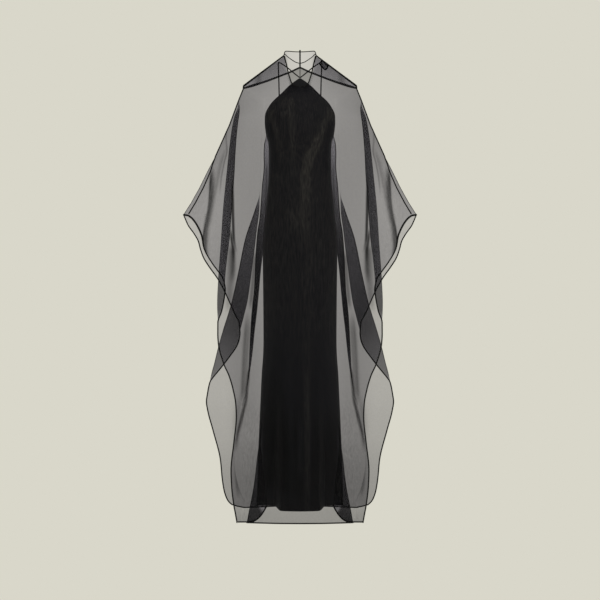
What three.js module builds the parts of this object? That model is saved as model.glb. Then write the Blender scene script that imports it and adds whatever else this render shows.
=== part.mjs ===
// Floor-length kaftan of sheer organza over its own halter slip, in the shape it has when worn.
// Millimetres, +Z up, front towards -Y. The origin is midway between the high points of the
// shoulders. A "drop" is a distance straight down from there, and tables give the half-width on
// one side: both sides are built alike.
import * as THREE from "three";

// ---- Driving dimensions ----
const ORGANZA_WALL = 1.2;        // thickness of every organza wall
const SLIP_WALL = 1.2;           // thickness of the slip's walls
const MESH_WALL = 1.0;           // thickness of the pale neck mesh
const HALF_SEAM_GAP = 0.6;       // each sheet stops this far from its seam plane
const NECK_V_DROP = 120;         // bottom of the front neck opening
const HEM_DROP = 1532;           // kaftan hem
const SEAM_SPREAD = 60;          // distance over which front and back part from a seam
const LAYER_GAP = 6;             // spacing of the layers inside a standing fold
const FOLD_RELAX = 60;           // distance over which a fold's standing-off dies out
const FOLD_FULL_WIDTH = 16;      // a fold at least this wide has its full layer gap
const HEM_LIFT = 55;             // rise of the hem inside the fold beside the slip
const HEM_LIFT_FROM = 1390;      // drop at which that rise begins
const HEM_CURL = 2.5;             // the higher, the later the hem turns up towards the inner turn
const SHOULDER_BINDING = { radius: 2.0, out: 1.5, up: 2.2 };  // moved off the seam line
const NECK_BINDING = { radius: 1.8, inwards: 2.6 };           // moved off the neck edge
const BACK_BINDING = { halfWidth: 3.2, standOff: 4.2 };       // wide binding behind the neck
const YOKE_EDGE_GAP = 1.1;       // gap between the yoke and the seams around it
const CORD_RADIUS = 0.9;
const CORD_CLEARANCE = 0.3;      // gap between the sagging cord and the mesh it hangs on
const STRAP_RADIUS = 1.2;
const TAB = { halfWidth: 2.4, y: 82, top: 28, bottom: -24 };
const BUTTON = { radius: 3.2, y: 86.5, z: 31 };
const BEAD = { radius: 2, y: 85, z: -12.7 };
const LABEL = { length: 29, width: 13, half: 79.5, drop: 33.5, standOff: 3.5 };

// ---- Looks: each mesh gets a material of its own from one of these ----
const ORGANZA = { color: 0x161616, roughness: 0.6, metalness: 0, transparent: true, opacity: 0.42 };
const NETTING = { color: 0x7d7a71, roughness: 0.9, metalness: 0, transparent: true, opacity: 0.12 };
const BINDING = { color: 0x121212, roughness: 0.7, metalness: 0 };
const GLOSSY = { color: 0x141414, roughness: 0.3, metalness: 0 };
const SATIN = { color: 0x131312, roughness: 0.4, metalness: 0 };

// Shoulder and sleeve seam, where front meets back: [half-width, drop].
const SEAM = [[51.5, 2], [185.5, 103], [194, 123.5], [205, 151], [235, 232], [284.5, 342],
  [308.5, 388], [334.5, 441], [363, 492], [388, 531]];
const SHOULDER_POINT = SEAM[1];
const CUFF_DROP = SEAM[SEAM.length - 1][1];

// How far the cloth stands off the seam plane: a row per drop, a column per half-width.
const DEPTH_AT = [0, 60, 120, 180, 260, 390];
const FRONT_DEPTH = [
  [0, 62, 58, 52, 46, 40, 40],
  [165, 113, 107, 91, 68, 50, 40],
  [300, 121, 116, 98, 74, 52, 42],
  [560, 126, 122, 108, 84, 60, 48],
  [815, 132, 129, 118, 98, 74, 60],
  [1150, 148, 146, 138, 124, 104, 90],
  [HEM_DROP, 170, 168, 160, 150, 146, 140],
];
const BACK_DEPTH = [
  [0, 135, 130, 105, 80, 60, 50],
  [80, 110, 106, 92, 74, 56, 48],
  [165, 104, 100, 90, 72, 55, 46],
  [300, 103, 100, 90, 74, 56, 48],
  [560, 110, 108, 101, 86, 64, 52],
  [760, 125, 123, 116, 102, 78, 60],
  [1150, 150, 148, 142, 130, 108, 96],
  [HEM_DROP, 205, 200, 186, 168, 158, 150],
];

// Outlines and fold lines of the panels: [drop, half-width].
const NECK_V = [[0, 53], [21, 48], [44, 43], [61, 40], [87, 33], [105, 27], [115, 18],
  [NECK_V_DROP, 0]];
const FRONT_FREE_EDGE = [[CUFF_DROP, 388], [534, 372], [555, 349], [580, 334], [604, 324],
  [642, 316], [662, 308], [692, 290], [722, 268], [746, 252], [782, 245], [794, 246], [850, 256],
  [889, 269], [925, 269], [957, 267], [1023, 249], [1062, 231], [1108, 217], [1153, 209.5],
  [1194, 209], [1275, 215], [1366, 223], [1415, 221], [1480, 213], [1500, 209], [HEM_DROP, 203]];
const INVERTED_V = [[28, 3], [42, 28], [62, 74], [86, 134], [103, 184]];
const BACK_FREE_EDGE = [[CUFF_DROP, 388], [564, 375], [592, 356], [618, 342], [642, 336], [671, 326],
  [701, 308], [744, 278], [785, 256], [830, 236], [863, 222], [894, 208], [926, 205], [950, 208],
  [970, 215], [1013, 244], [1034, 260], [1060, 281], [1082, 299], [1094, 306.5], [1139, 316], [1161, 319],
  [1196, 314], [1258, 298], [1364, 273], [1423, 268], [1467, 262], [1500, 252], [1521, 235],
  [HEM_DROP, 195]];

// A standing fold is a Z of three layers. "outer" is its turn away from the body and "inner" the
// turn back towards it; where the two lines meet, the fold is closed. "first", "middle" and
// "last" say how far each layer stands off, in layer gaps, counted away from the body.
const SLEEVE_FOLD = {            // front panel, hanging from the shoulder
  share: 1, first: 2, middle: 1, last: 0, edgeOnMiddle: 794, edgeOnFirst: 889,
  outer: [[151, 205], [162, 205], [213, 220], [267, 229], [385, 241], [525, 254], [627, 260],
    [746, 268], [825, 271], [889, 269]],
  inner: [[151, 205], [180, 200], [235, 206], [296, 211], [353, 215], [466, 221], [547, 226],
    [667, 238], [769, 246], [794, 246]],
};
const HEM_FOLD = {               // front panel, beside the slip near the hem
  share: 0.55, first: 0, middle: -1, last: -2,
  outer: [[100, 118], [1200, 124], [1234, 128], [1282, 133], [1331, 139.6], [1373, 144],
    [1421, 150.5], [1459, 157.5], [1491, 164], [HEM_DROP, 171.5]],
  inner: [[100, 118], [1200, 124], [1282, 126], [1331, 122], [1400, 114], [HEM_DROP, 107]],
};
const LOBE_FOLD = {              // back panel, from the hip out to the lobe
  share: 0.75, first: 2, middle: 1, last: 0, edgeOnMiddle: 926, edgeOnFirst: 1094,
  outer: [[200, 130], [450, 137], [509, 154], [608, 187], [723, 211], [825, 234], [920, 263],
    [980, 280], [1035, 293.5], [1062, 301], [1094, 307.5]],
  inner: [[200, 130], [450, 137], [512, 139], [579, 147.5], [645, 155], [703, 163], [818, 179], [868, 191],
    [926, 206]],
};
const SIDE_FOLD = {              // back panel, from the underarm down the side of the slip
  share: 0.5, first: 0, middle: 1, last: 2,
  outer: [[250, 114], [288, 121.7], [322, 123.4], [356, 122.7], [390, 125], [424, 129],
    [475, 132.6], [543, 137.7], [577, 142.5], [611, 145], [645, 147.5], [686, 150], [781, 156],
    [849, 162.5],
    [917, 167.3], [986, 172], [1037, 174.5], [1089, 179.5], [HEM_DROP, 182]],
  inner: [[250, 114], [288, 104], [400, 105], [516, 112], [577, 118], [645, 125.5], [720, 136],
    [781, 142],
    [849, 147.7], [917, 154.7], [986, 161.7], [1037, 168], [1089, 179.5], [HEM_DROP, 182]],
};

// Slip: a row per drop. "wrap" is how far the front reaches round, in degrees from the centre
// front; "flute" is the share by which a hollow beside the centre sinks back near the hem.
const SLIP = [
  { drop: 88, half: 3, wrap: 2, front: 72, back: 80, flute: 0 },
  { drop: 103, half: 25, wrap: 17, front: 75, back: 80, flute: 0 },
  { drop: 116, half: 41, wrap: 29, front: 79, back: 80, flute: 0 },
  { drop: 130, half: 55.5, wrap: 40, front: 82, back: 80, flute: 0 },
  { drop: 144, half: 71.5, wrap: 48, front: 86, back: 81, flute: 0 },
  { drop: 158, half: 88, wrap: 55, front: 90, back: 82, flute: 0 },
  { drop: 175, half: 102, wrap: 61, front: 94, back: 83, flute: 0 },
  { drop: 205, half: 116, wrap: 69, front: 101, back: 84, flute: 0 },
  { drop: 228, half: 117, wrap: 77, front: 104, back: 84, flute: 0 },
  { drop: 252, half: 115, wrap: 84, front: 105, back: 85, flute: 0 },
  { drop: 268, half: 112.5, wrap: 90, front: 104, back: 85, flute: 0 },
  { drop: 290, half: 105.5, wrap: 90, front: 100, back: 84, flute: 0 },
  { drop: 340, half: 101.7, wrap: 90, front: 86, back: 76, flute: 0 },
  { drop: 405, half: 103.6, wrap: 90, front: 78, back: 68, flute: 0 },
  { drop: 500, half: 112, wrap: 90, front: 88, back: 84, flute: 0 },
  { drop: 640, half: 123.5, wrap: 90, front: 98, back: 108, flute: 0 },
  { drop: 800, half: 122, wrap: 90, front: 98, back: 105, flute: 0 },
  { drop: 950, half: 121, wrap: 90, front: 98, back: 100, flute: 0 },
  { drop: 1002, half: 122.5, wrap: 90, front: 98, back: 100, flute: 0 },
  { drop: 1055, half: 126.5, wrap: 90, front: 99, back: 100, flute: 0.03 },
  { drop: 1150, half: 131, wrap: 90, front: 101, back: 101, flute: 0.1 },
  { drop: 1240, half: 135, wrap: 90, front: 103, back: 102, flute: 0.26 },
  { drop: 1320, half: 138.5, wrap: 90, front: 105, back: 103, flute: 0.42 },
  { drop: 1430, half: 142, wrap: 90, front: 107, back: 105, flute: 0.75 },
  { drop: 1501, half: 144, wrap: 90, front: 108, back: 106, flute: 0.92 },
];

// Pale mesh round the back of the neck, in rows from the centre back out to the shoulder: its top
// line, the height of the sagging cord that crosses it, and its bottom line.
const NECK_MESH = [
  { topX: 0, topY: 78, topZ: 25, cordZ: -12.7, bottomX: 0, bottomY: 79, bottomZ: -26 },
  { topX: 14, topY: 75, topZ: 24.6, cordZ: -9, bottomX: 14, bottomY: 70.5, bottomZ: -31.5 },
  { topX: 28, topY: 66, topZ: 23.2, cordZ: -2, bottomX: 28, bottomY: 62.2, bottomZ: -39 },
  { topX: 42, topY: 48, topZ: 20.8, cordZ: 5.5, bottomX: 40, bottomY: 53, bottomZ: -44 },
  { topX: 48, topY: 33, topZ: 18.2, cordZ: 9, bottomX: 44.6, bottomY: 36.5, bottomZ: -29 },
  { topX: 51.5, topY: 16, topZ: 11, cordZ: 8, bottomX: 48.4, bottomY: 19, bottomZ: -13 },
  { topX: 52.4, topY: 5, topZ: 6, cordZ: 4, bottomX: 51, bottomY: 6, bottomZ: -3 },
];

// Strap of the slip, from the apex over the shoulder to the slip's back: [x, y, z].
const STRAP_PATH = [[2.4, -71.5, -84.5], [24, -46, -63], [39.6, -28, -47], [48, -19, -39.5],
  [62, -8, -28.5], [71, -2, -23], [72.5, 2, -27], [72, 20, -46], [71, 55, -91], [70, 73, -160],
  [70, 70, -240], [70, 65.5, -288]];

// Levels at which the panels are cut into sections.
const FRONT_DROPS = [4, 34, 68, 102, 110, 115, NECK_V_DROP, 151, 205, 267, 342, 420, 484, CUFF_DROP,
  534, 555, 580, 604, 642, 692, 746, 794, 842, 889, 957, 1023, 1062, 1108, 1200, 1282, 1340, 1400,
  1450, 1491, HEM_DROP];
const BACK_DROPS = [28, 42, 62, 82, 103, 126, 151, 200, 250, 288, 342, 420, 500, CUFF_DROP, 564,
  592, 642, 701, 744, 785, 830, 878, 926, 970, 1013, 1048, 1075, 1094, 1161, 1230, 1310, 1390, 1467,
  1510, HEM_DROP];
const SLIP_FRONT_DROPS = [88, 103, 116, 130, 144, 158, 180, 205, 228, 252, 268, 290, 340, 405, 500,
  640, 800, 950, 1055, 1150, 1320, 1430, 1501];
const SLIP_BACK_DROPS = [290, 340, 405, 500, 570, 640, 800, 950, 1055, 1150, 1320, 1501];

// ---- Reading the tables ----
// Value at t on a smooth line through [t, value] keys that never overshoots them.
function along(keys, t) {
  const last = keys.length - 1;
  if (t <= keys[0][0]) return keys[0][1];
  if (t >= keys[last][0]) return keys[last][1];
  let i = 0;
  while (keys[i + 1][0] < t) i += 1;
  const rise = (k) => (keys[k + 1][1] - keys[k][1]) / (keys[k + 1][0] - keys[k][0]);
  const slope = (k) => {
    if (k === 0) return rise(0);
    if (k === last) return rise(last - 1);
    const before = rise(k - 1);
    const after = rise(k);
    return before * after <= 0 ? 0 : (2 * before * after) / (before + after);
  };
  const step = keys[i + 1][0] - keys[i][0];
  const s = (t - keys[i][0]) / step;
  return keys[i][1] * (1 + 2 * s) * (1 - s) ** 2 + step * slope(i) * s * (1 - s) ** 2
    + keys[i + 1][1] * s * s * (3 - 2 * s) - step * slope(i + 1) * s * s * (1 - s);
}

function blend(from, to, share) {
  return from + (to - from) * share;
}

function easeStep(from, to, t) {
  if (from === to) return 0;
  const s = Math.min(1, Math.max(0, (t - from) / (to - from)));
  return s * s * (3 - 2 * s);
}

function seamHalfWidth(drop) {
  let i = 0;
  while (SEAM[i + 1][1] < drop) i += 1;
  const share = (drop - SEAM[i][1]) / (SEAM[i + 1][1] - SEAM[i][1]);
  return blend(SEAM[i][0], SEAM[i + 1][0], share);
}

function seamDistance(x, drop) {
  let nearest = Infinity;
  for (let i = 0; i + 1 < SEAM.length; i += 1) {
    const [x0, d0] = SEAM[i];
    const runX = SEAM[i + 1][0] - x0;
    const runD = SEAM[i + 1][1] - d0;
    const s = ((x - x0) * runX + (drop - d0) * runD) / (runX * runX + runD * runD);
    const t = Math.min(1, Math.max(0, s));
    nearest = Math.min(nearest, Math.hypot(x - x0 - t * runX, drop - d0 - t * runD));
  }
  return nearest;
}

function clothDepth(table, x, drop) {
  const across = DEPTH_AT.map((at, k) => [at, along(table.map((row) => [row[0], row[k + 1]]), drop)]);
  return along(across, x) * (1 - Math.exp(-seamDistance(x, drop) / SEAM_SPREAD)) + HALF_SEAM_GAP;
}

const backY = (x, drop) => clothDepth(BACK_DEPTH, x, drop);

// ---- Closed walls ----
const WELD_STEPS_PER_MM = 500;   // points closer than one step are one point
const LEAST_MITRE = 0.7;         // keeps a sharp turn from pushing its corners far out

// Both faces and the rim of a cloth whose middle surface is given as triangles of points.
function closedWall(name, triangles, thickness, look) {
  const keys = new Map();
  const points = [];
  const indexOf = (p) => {
    const key = p.map((v) => Math.round(v * WELD_STEPS_PER_MM)).join(",");
    if (!keys.has(key)) {
      keys.set(key, points.length);
      points.push(new THREE.Vector3(...p));
    }
    return keys.get(key);
  };
  const faces = [];
  for (const triangle of triangles) {
    const [a, b, c] = triangle.map(indexOf);
    if (a !== b && b !== c && c !== a) faces.push([a, b, c]);
  }
  const normals = points.map(() => new THREE.Vector3());
  const faceNormals = faces.map(([a, b, c]) => {
    const ab = points[b].clone().sub(points[a]);
    const ac = points[c].clone().sub(points[a]);
    const bc = points[c].clone().sub(points[b]);
    const normal = ab.clone().cross(ac).normalize();
    normals[a].addScaledVector(normal, ab.angleTo(ac));
    normals[b].addScaledVector(normal, Math.PI - ab.angleTo(bc));
    normals[c].addScaledVector(normal, ac.angleTo(bc));
    return normal;
  });
  const closeness = points.map(() => 1);
  normals.forEach((normal) => normal.normalize());
  faces.forEach((face, f) => face.forEach((v) => {
    closeness[v] = Math.min(closeness[v], normals[v].dot(faceNormals[f]));
  }));
  const vertices = [];
  for (const side of [0.5, -0.5]) {
    points.forEach((p, v) => {
      const reach = (side * thickness) / Math.max(LEAST_MITRE, closeness[v]);
      vertices.push(...p.clone().addScaledVector(normals[v], reach).toArray());
    });
  }
  const under = points.length;
  const index = [];
  const edges = new Set();
  for (const [a, b, c] of faces) {
    index.push(a, b, c, under + c, under + b, under + a);
    for (const [p, q] of [[a, b], [b, c], [c, a]]) edges.add(`${p},${q}`);
  }
  for (const edge of edges) {
    const [p, q] = edge.split(",").map(Number);
    if (!edges.has(`${q},${p}`)) index.push(q, p, under + p, q, under + p, under + q);
  }
  return namedMesh(name, vertices, index, look);
}

function namedMesh(name, vertices, index, look) {
  const geometry = new THREE.BufferGeometry();
  geometry.setAttribute("position", new THREE.Float32BufferAttribute(vertices, 3));
  geometry.setIndex(index);
  geometry.computeVertexNormals();
  const mesh = new THREE.Mesh(geometry, new THREE.MeshStandardMaterial({ ...look, side: THREE.DoubleSide }));
  mesh.name = name;
  return mesh;
}

// Triangles between neighbouring sections. "flip" turns them over.
function strips(sections, flip) {
  const triangles = [];
  for (let r = 0; r + 1 < sections.length; r += 1) {
    for (let c = 0; c + 1 < sections[r].length; c += 1) {
      const [a, b] = [sections[r][c], sections[r][c + 1]];
      const [d, e] = [sections[r + 1][c], sections[r + 1][c + 1]];
      const pair = [[a, b, e], [a, e, d]];
      for (const [p, q, s] of pair) triangles.push(flip ? [p, s, q] : [p, q, s]);
    }
  }
  return triangles;
}

const mirrored = (section) => section.map(([x, y, z]) => [-x, y, z]);

// Both halves of a symmetrical cloth; they share their points on the centre line.
function bothHalves(sections) {
  return strips(sections, false).concat(strips(sections.map(mirrored), true));
}

// Round cord along a path, closed at both ends.
function cord(name, path, radius, look) {
  const SIDES = 8;
  const centres = path.map((p) => new THREE.Vector3(...p));
  const vertices = [];
  centres.forEach((centre, i) => {
    const before = centres[Math.max(0, i - 1)];
    const after = centres[Math.min(centres.length - 1, i + 1)];
    const run = after.clone().sub(before).normalize();
    const lead = Math.abs(run.y) > 0.9 ? new THREE.Vector3(1, 0, 0) : new THREE.Vector3(0, 1, 0);
    const side = new THREE.Vector3().crossVectors(run, lead).normalize();
    const up = new THREE.Vector3().crossVectors(run, side);
    for (let k = 0; k < SIDES; k += 1) {
      const turn = (2 * Math.PI * k) / SIDES;
      const p = centre.clone().addScaledVector(side, radius * Math.cos(turn));
      vertices.push(...p.addScaledVector(up, radius * Math.sin(turn)).toArray());
    }
  });
  const index = [];
  for (let i = 0; i + 1 < centres.length; i += 1) {
    for (let k = 0; k < SIDES; k += 1) {
      const a = i * SIDES + k;
      const b = i * SIDES + ((k + 1) % SIDES);
      index.push(a, b, b + SIDES, a, b + SIDES, a + SIDES);
    }
  }
  const start = vertices.length / 3;
  vertices.push(...centres[0].toArray(), ...centres[centres.length - 1].toArray());
  const lastRing = (centres.length - 1) * SIDES;
  for (let k = 0; k < SIDES; k += 1) {
    const next = (k + 1) % SIDES;
    index.push(start, next, k, start + 1, lastRing + k, lastRing + next);
  }
  return namedMesh(name, vertices, index, look);
}

// ---- One section across half a panel ----
const MIDDLE_STEPS = 3;          // columns across the middle layer of a fold

// Points from the inner edge out to the free edge at one drop, through two standing folds.
// "away" is -1 for the front panel and +1 for the back one.
function panelSection(panel, drop) {
  const inside = panel.insideEdge(drop);
  const edge = panel.outsideEdge(drop);
  const depth = (x) => clothDepth(panel.depth, x, drop);
  const folds = panel.folds.map((fold) => {
    const limit = drop < fold.outer[0][0] ? blend(inside, edge, fold.share) : Infinity;
    let outer = Math.min(along(fold.outer, drop), limit);
    let inner = Math.min(along(fold.inner, drop), limit);
    const layer = drop < (fold.edgeOnMiddle ?? Infinity) ? 2 : drop < fold.edgeOnFirst ? 1 : 0;
    if (layer === 1) inner = edge;
    if (layer === 0) outer = inner = edge;
    const gap = LAYER_GAP * Math.min(1, Math.max(0, (outer - inner) / FOLD_FULL_WIDTH));
    const lastTurn = Math.min(gap / 2, Math.max(0, edge - inner));
    return { ...fold, outer, inner, layer, gap, turn: gap / 2, lastTurn };
  });
  const standOff = (x, fold, which) => {
    const past = which === "first" ? fold.inner - x : x - fold.outer;
    return fold.gap * fold[which] * (past > 0 ? Math.exp(-((past / FOLD_RELAX) ** 2)) : 1);
  };
  const points = [];
  const put = (x, off, lift = 0) => {
    const y = panel.away * Math.max(HALF_SEAM_GAP, depth(x) + off);
    points.push([x, y, -drop + lift]);
  };
  let from = inside;
  folds.forEach((fold, f) => {
    const before = folds[f - 1];
    const stop = fold.outer - fold.turn;
    const offFirst = (x) => standOff(x, fold, "first") + (before ? standOff(x, before, "last") : 0);
    const steps = panel.steps[f];
    const lift = (x) => (before ? 0 : panel.hemLift(x, fold, drop));
    const liftBefore = (x) => (before ? panel.hemLift(x, before, drop) : 0);
    for (let i = 0; i <= steps; i += 1) {
      const x = blend(from, stop, i / steps);
      put(x, offFirst(x), liftBefore(x));
    }
    const mid = (a, b) => fold.gap * (fold[a] + fold[b]) / 2;
    put(fold.outer, mid("first", "middle"));
    const backStop = fold.inner + fold.lastTurn;
    for (let i = 0; i <= MIDDLE_STEPS; i += 1) {
      const x = blend(stop, backStop, i / MIDDLE_STEPS);
      put(x, fold.gap * fold.middle, lift(x));
    }
    if (fold.layer === 2) {
      put(fold.inner, mid("middle", "last"), lift(fold.inner));
      from = backStop;
    } else {
      points.push(points[points.length - 1]);
      from = fold.inner;
    }
  });
  const outermost = folds[folds.length - 1];
  for (let i = 0; i <= panel.steps[2]; i += 1) {
    if (outermost.layer === 2) {
      const x = blend(from, edge, i / panel.steps[2]);
      put(x, standOff(x, outermost, "last"));
    } else {
      points.push(points[points.length - 1]);
    }
  }
  return points;
}

// ---- Kaftan, front panel: one wide width of organza with an open neck ----
const FRONT = {
  away: -1,
  depth: FRONT_DEPTH,
  outsideEdge: (drop) => (drop < CUFF_DROP ? seamHalfWidth(drop) : along(FRONT_FREE_EDGE, drop)),
  insideEdge: (drop) => along(NECK_V, drop),
  folds: [HEM_FOLD, SLEEVE_FOLD],
  steps: [3, 4, 4],
  hemLift: (x, fold, drop) => {
    if (fold.outer <= fold.inner) return 0;
    const across = Math.min(1, Math.max(0, (fold.outer - x) / (fold.outer - fold.inner)));
    return HEM_LIFT * easeStep(HEM_LIFT_FROM, HEM_DROP, drop) * across ** HEM_CURL;
  },
};

// ---- Kaftan, back panel: its top edge is an inverted V behind the neck ----
const BACK = {
  away: 1,
  depth: BACK_DEPTH,
  outsideEdge: (drop) => {
    if (drop < SHOULDER_POINT[1]) return along(INVERTED_V, drop);
    return drop < CUFF_DROP ? seamHalfWidth(drop) : along(BACK_FREE_EDGE, drop);
  },
  insideEdge: () => 0,
  folds: [SIDE_FOLD, LOBE_FOLD],
  steps: [3, 4, 4],
  hemLift: () => 0,
};

function kaftanPanel(name, panel, drops) {
  const sections = drops.map((drop) => panelSection(panel, drop));
  return closedWall(name, bothHalves(sections), ORGANZA_WALL, ORGANZA);
}

// ---- Back yoke: the doubled triangle between the shoulder seam and the inverted V ----
const invertedVDrop = (x) => along(INVERTED_V.map(([drop, half]) => [half, drop]), x);

function yoke(name, side) {
  const ROWS = 6;
  const COLUMNS = 8;
  const LOW_CORNER = 42;         // half-width where the yoke's low edge starts beside the neck
  const [START, END] = [0.02, 0.97];
  const sections = [];
  for (let c = 0; c <= COLUMNS; c += 1) {
    const s = blend(START, END, c / COLUMNS);
    const seamX = blend(SEAM[0][0], SHOULDER_POINT[0], s);
    const seamDrop = blend(SEAM[0][1], SHOULDER_POINT[1], s) + YOKE_EDGE_GAP;
    const lowX = blend(LOW_CORNER, SHOULDER_POINT[0], s);
    const lowDrop = invertedVDrop(lowX) - YOKE_EDGE_GAP;
    const section = [];
    for (let r = 0; r <= ROWS; r += 1) {
      const x = blend(seamX, lowX, r / ROWS);
      const drop = blend(seamDrop, lowDrop, r / ROWS);
      section.push([side * x, backY(x, drop), -drop]);
    }
    sections.push(section);
  }
  return closedWall(name, strips(sections, side < 0), ORGANZA_WALL, ORGANZA);
}

// ---- Bindings ----
function shoulderBinding(name, side) {
  const STEPS = 6;
  const START = 0.02;
  const path = [];
  for (let i = 0; i <= STEPS; i += 1) {
    const s = blend(START, 1, i / STEPS);
    const x = blend(SEAM[0][0], SHOULDER_POINT[0], s) + SHOULDER_BINDING.out;
    const drop = blend(SEAM[0][1], SHOULDER_POINT[1], s) - SHOULDER_BINDING.up;
    path.push([side * x, 0, -drop]);
  }
  return cord(name, path, SHOULDER_BINDING.radius, BINDING);
}

// Runs beside the neck edge, moved off it at a right angle, down to the middle of the front.
function neckBinding(name, side) {
  const path = [6, 20, 40, 60, 80, 95, 105, 111, 115, 117.5, 119.2].map((drop) => {
    const x = along(NECK_V, drop);
    const runX = along(NECK_V, drop + 0.5) - along(NECK_V, drop - 0.5);
    const length = Math.hypot(runX, 1);
    const px = x - NECK_BINDING.inwards / length;
    const pDrop = drop + (NECK_BINDING.inwards * runX) / length;
    return [side * px, -clothDepth(FRONT_DEPTH, x, drop), -pDrop];
  });
  return cord(name, path, NECK_BINDING.radius, BINDING);
}

function backEdgeBinding(name, side) {
  const sections = [0.5, 14, 28, 42, 60, 80, 105, 130, 155, 176].map((x) => {
    const section = [];
    for (const across of [-BACK_BINDING.halfWidth, 0, BACK_BINDING.halfWidth]) {
      const drop = invertedVDrop(x) + across;
      section.push([side * x, backY(x, Math.max(drop, 1)) + BACK_BINDING.standOff, -drop]);
    }
    return section;
  });
  return closedWall(name, strips(sections, side < 0), ORGANZA_WALL, BINDING);
}

// ---- Neck: pale mesh, two cords, tab, button and bead ----
function neckMesh() {
  const sections = NECK_MESH.map((row) => [
    [row.topX, row.topY, row.topZ],
    [row.topX, row.topY, row.cordZ],
    [row.bottomX, row.bottomY, row.bottomZ],
  ]);
  return closedWall("neck_mesh", bothHalves(sections), MESH_WALL, NETTING);
}

function neckCord(name, height, outward) {
  const half = NECK_MESH.map((row) => {
    const grow = 1 + outward / Math.hypot(row.topX, row.topY);
    return [row.topX * grow, row.topY * grow, height(row)];
  });
  const path = mirrored(half.slice(1)).reverse().concat(half);
  return cord(name, path, CORD_RADIUS, BINDING);
}

function centreBackTab() {
  const STEPS = 3;
  const sections = [];
  for (let i = 0; i <= STEPS; i += 1) {
    const z = blend(TAB.top, TAB.bottom, i / STEPS);
    sections.push([[-TAB.halfWidth, TAB.y, z], [0, TAB.y, z], [TAB.halfWidth, TAB.y, z]]);
  }
  return closedWall("centre_back_tab", strips(sections, false), ORGANZA_WALL, BINDING);
}

function roundKnob(name, { radius, y, z }) {
  const geometry = new THREE.SphereGeometry(radius, 12, 8);
  const mesh = new THREE.Mesh(geometry, new THREE.MeshStandardMaterial(GLOSSY));
  mesh.name = name;
  mesh.position.set(0, y, z);
  return mesh;
}

// ---- Blank label, inside the yoke at the wearer's left shoulder ----
function blankLabel() {
  const tilt = Math.atan2(SHOULDER_POINT[1], SHOULDER_POINT[0] - SEAM[0][0]);
  const sections = [-0.5, -0.17, 0.17, 0.5].map((u) => [-0.5, 0, 0.5].map((v) => {
    const lengthwise = u * LABEL.length;
    const crosswise = v * LABEL.width;
    const x = LABEL.half + lengthwise * Math.cos(tilt) - crosswise * Math.sin(tilt);
    const drop = LABEL.drop + lengthwise * Math.sin(tilt) + crosswise * Math.cos(tilt);
    return [x, backY(x, drop) - LABEL.standOff, -drop];
  }));
  return closedWall("blank_label", strips(sections, false), ORGANZA_WALL, BINDING);
}

// ---- Slip ----
function slipSize(name, drop) {
  return along(SLIP.map((row) => [row.drop, row[name]]), drop);
}

function slipPoint(drop, turn, depthName) {
  const wrap = (slipSize("wrap", drop) * Math.PI) / 180;
  const x = (slipSize("half", drop) / Math.sin(wrap)) * Math.sin(turn);
  const degrees = (turn * 180) / Math.PI;
  const sunk = depthName === "front" ? slipSize("flute", drop) * easeStep(25, 35, degrees) : 0;
  return [x, slipSize(depthName, drop) * Math.cos(turn) * (1 - sunk)];
}

function slipFront() {
  const COLUMNS = 10;
  const sections = SLIP_FRONT_DROPS.map((drop) => {
    const wrap = (slipSize("wrap", drop) * Math.PI) / 180;
    const section = [];
    for (let c = 0; c <= COLUMNS; c += 1) {
      const [x, y] = slipPoint(drop, (wrap * c) / COLUMNS, "front");
      section.push([x, -y - HALF_SEAM_GAP, -drop]);
    }
    return section;
  });
  return closedWall("slip_front", bothHalves(sections), SLIP_WALL, SATIN);
}

function slipBack() {
  const COLUMNS = 8;
  const sections = SLIP_BACK_DROPS.map((drop) => {
    const section = [];
    for (let c = 0; c <= COLUMNS; c += 1) {
      const [x, y] = slipPoint(drop, (Math.PI / 2) * (c / COLUMNS), "back");
      section.push([x, y + HALF_SEAM_GAP, -drop]);
    }
    return section;
  });
  return closedWall("slip_back", bothHalves(sections), SLIP_WALL, SATIN);
}

function strap(name, side) {
  return cord(name, STRAP_PATH.map(([x, y, z]) => [side * x, y, z]), STRAP_RADIUS, SATIN);
}

// ---- Assembly ----
const kaftan = new THREE.Group();
kaftan.name = "kaftan";
kaftan.add(
  kaftanPanel("kaftan_front", FRONT, FRONT_DROPS),
  kaftanPanel("kaftan_back", BACK, BACK_DROPS),
  yoke("yoke_left", -1),
  yoke("yoke_right", 1),
  shoulderBinding("shoulder_binding_left", -1),
  shoulderBinding("shoulder_binding_right", 1),
  neckBinding("neck_binding_left", -1),
  neckBinding("neck_binding_right", 1),
  backEdgeBinding("back_edge_binding_left", -1),
  backEdgeBinding("back_edge_binding_right", 1),
  neckMesh(),
  neckCord("neck_top_cord", (row) => row.topZ + MESH_WALL + CORD_RADIUS, 0),
  neckCord("neck_sagging_cord", (row) => row.cordZ, MESH_WALL + CORD_RADIUS + CORD_CLEARANCE),
  centreBackTab(),
  roundKnob("neck_button", BUTTON),
  roundKnob("neck_bead", BEAD),
  blankLabel(),
  slipFront(),
  slipBack(),
  strap("strap_left", -1),
  strap("strap_right", 1),
);

export default kaftan;
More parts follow.
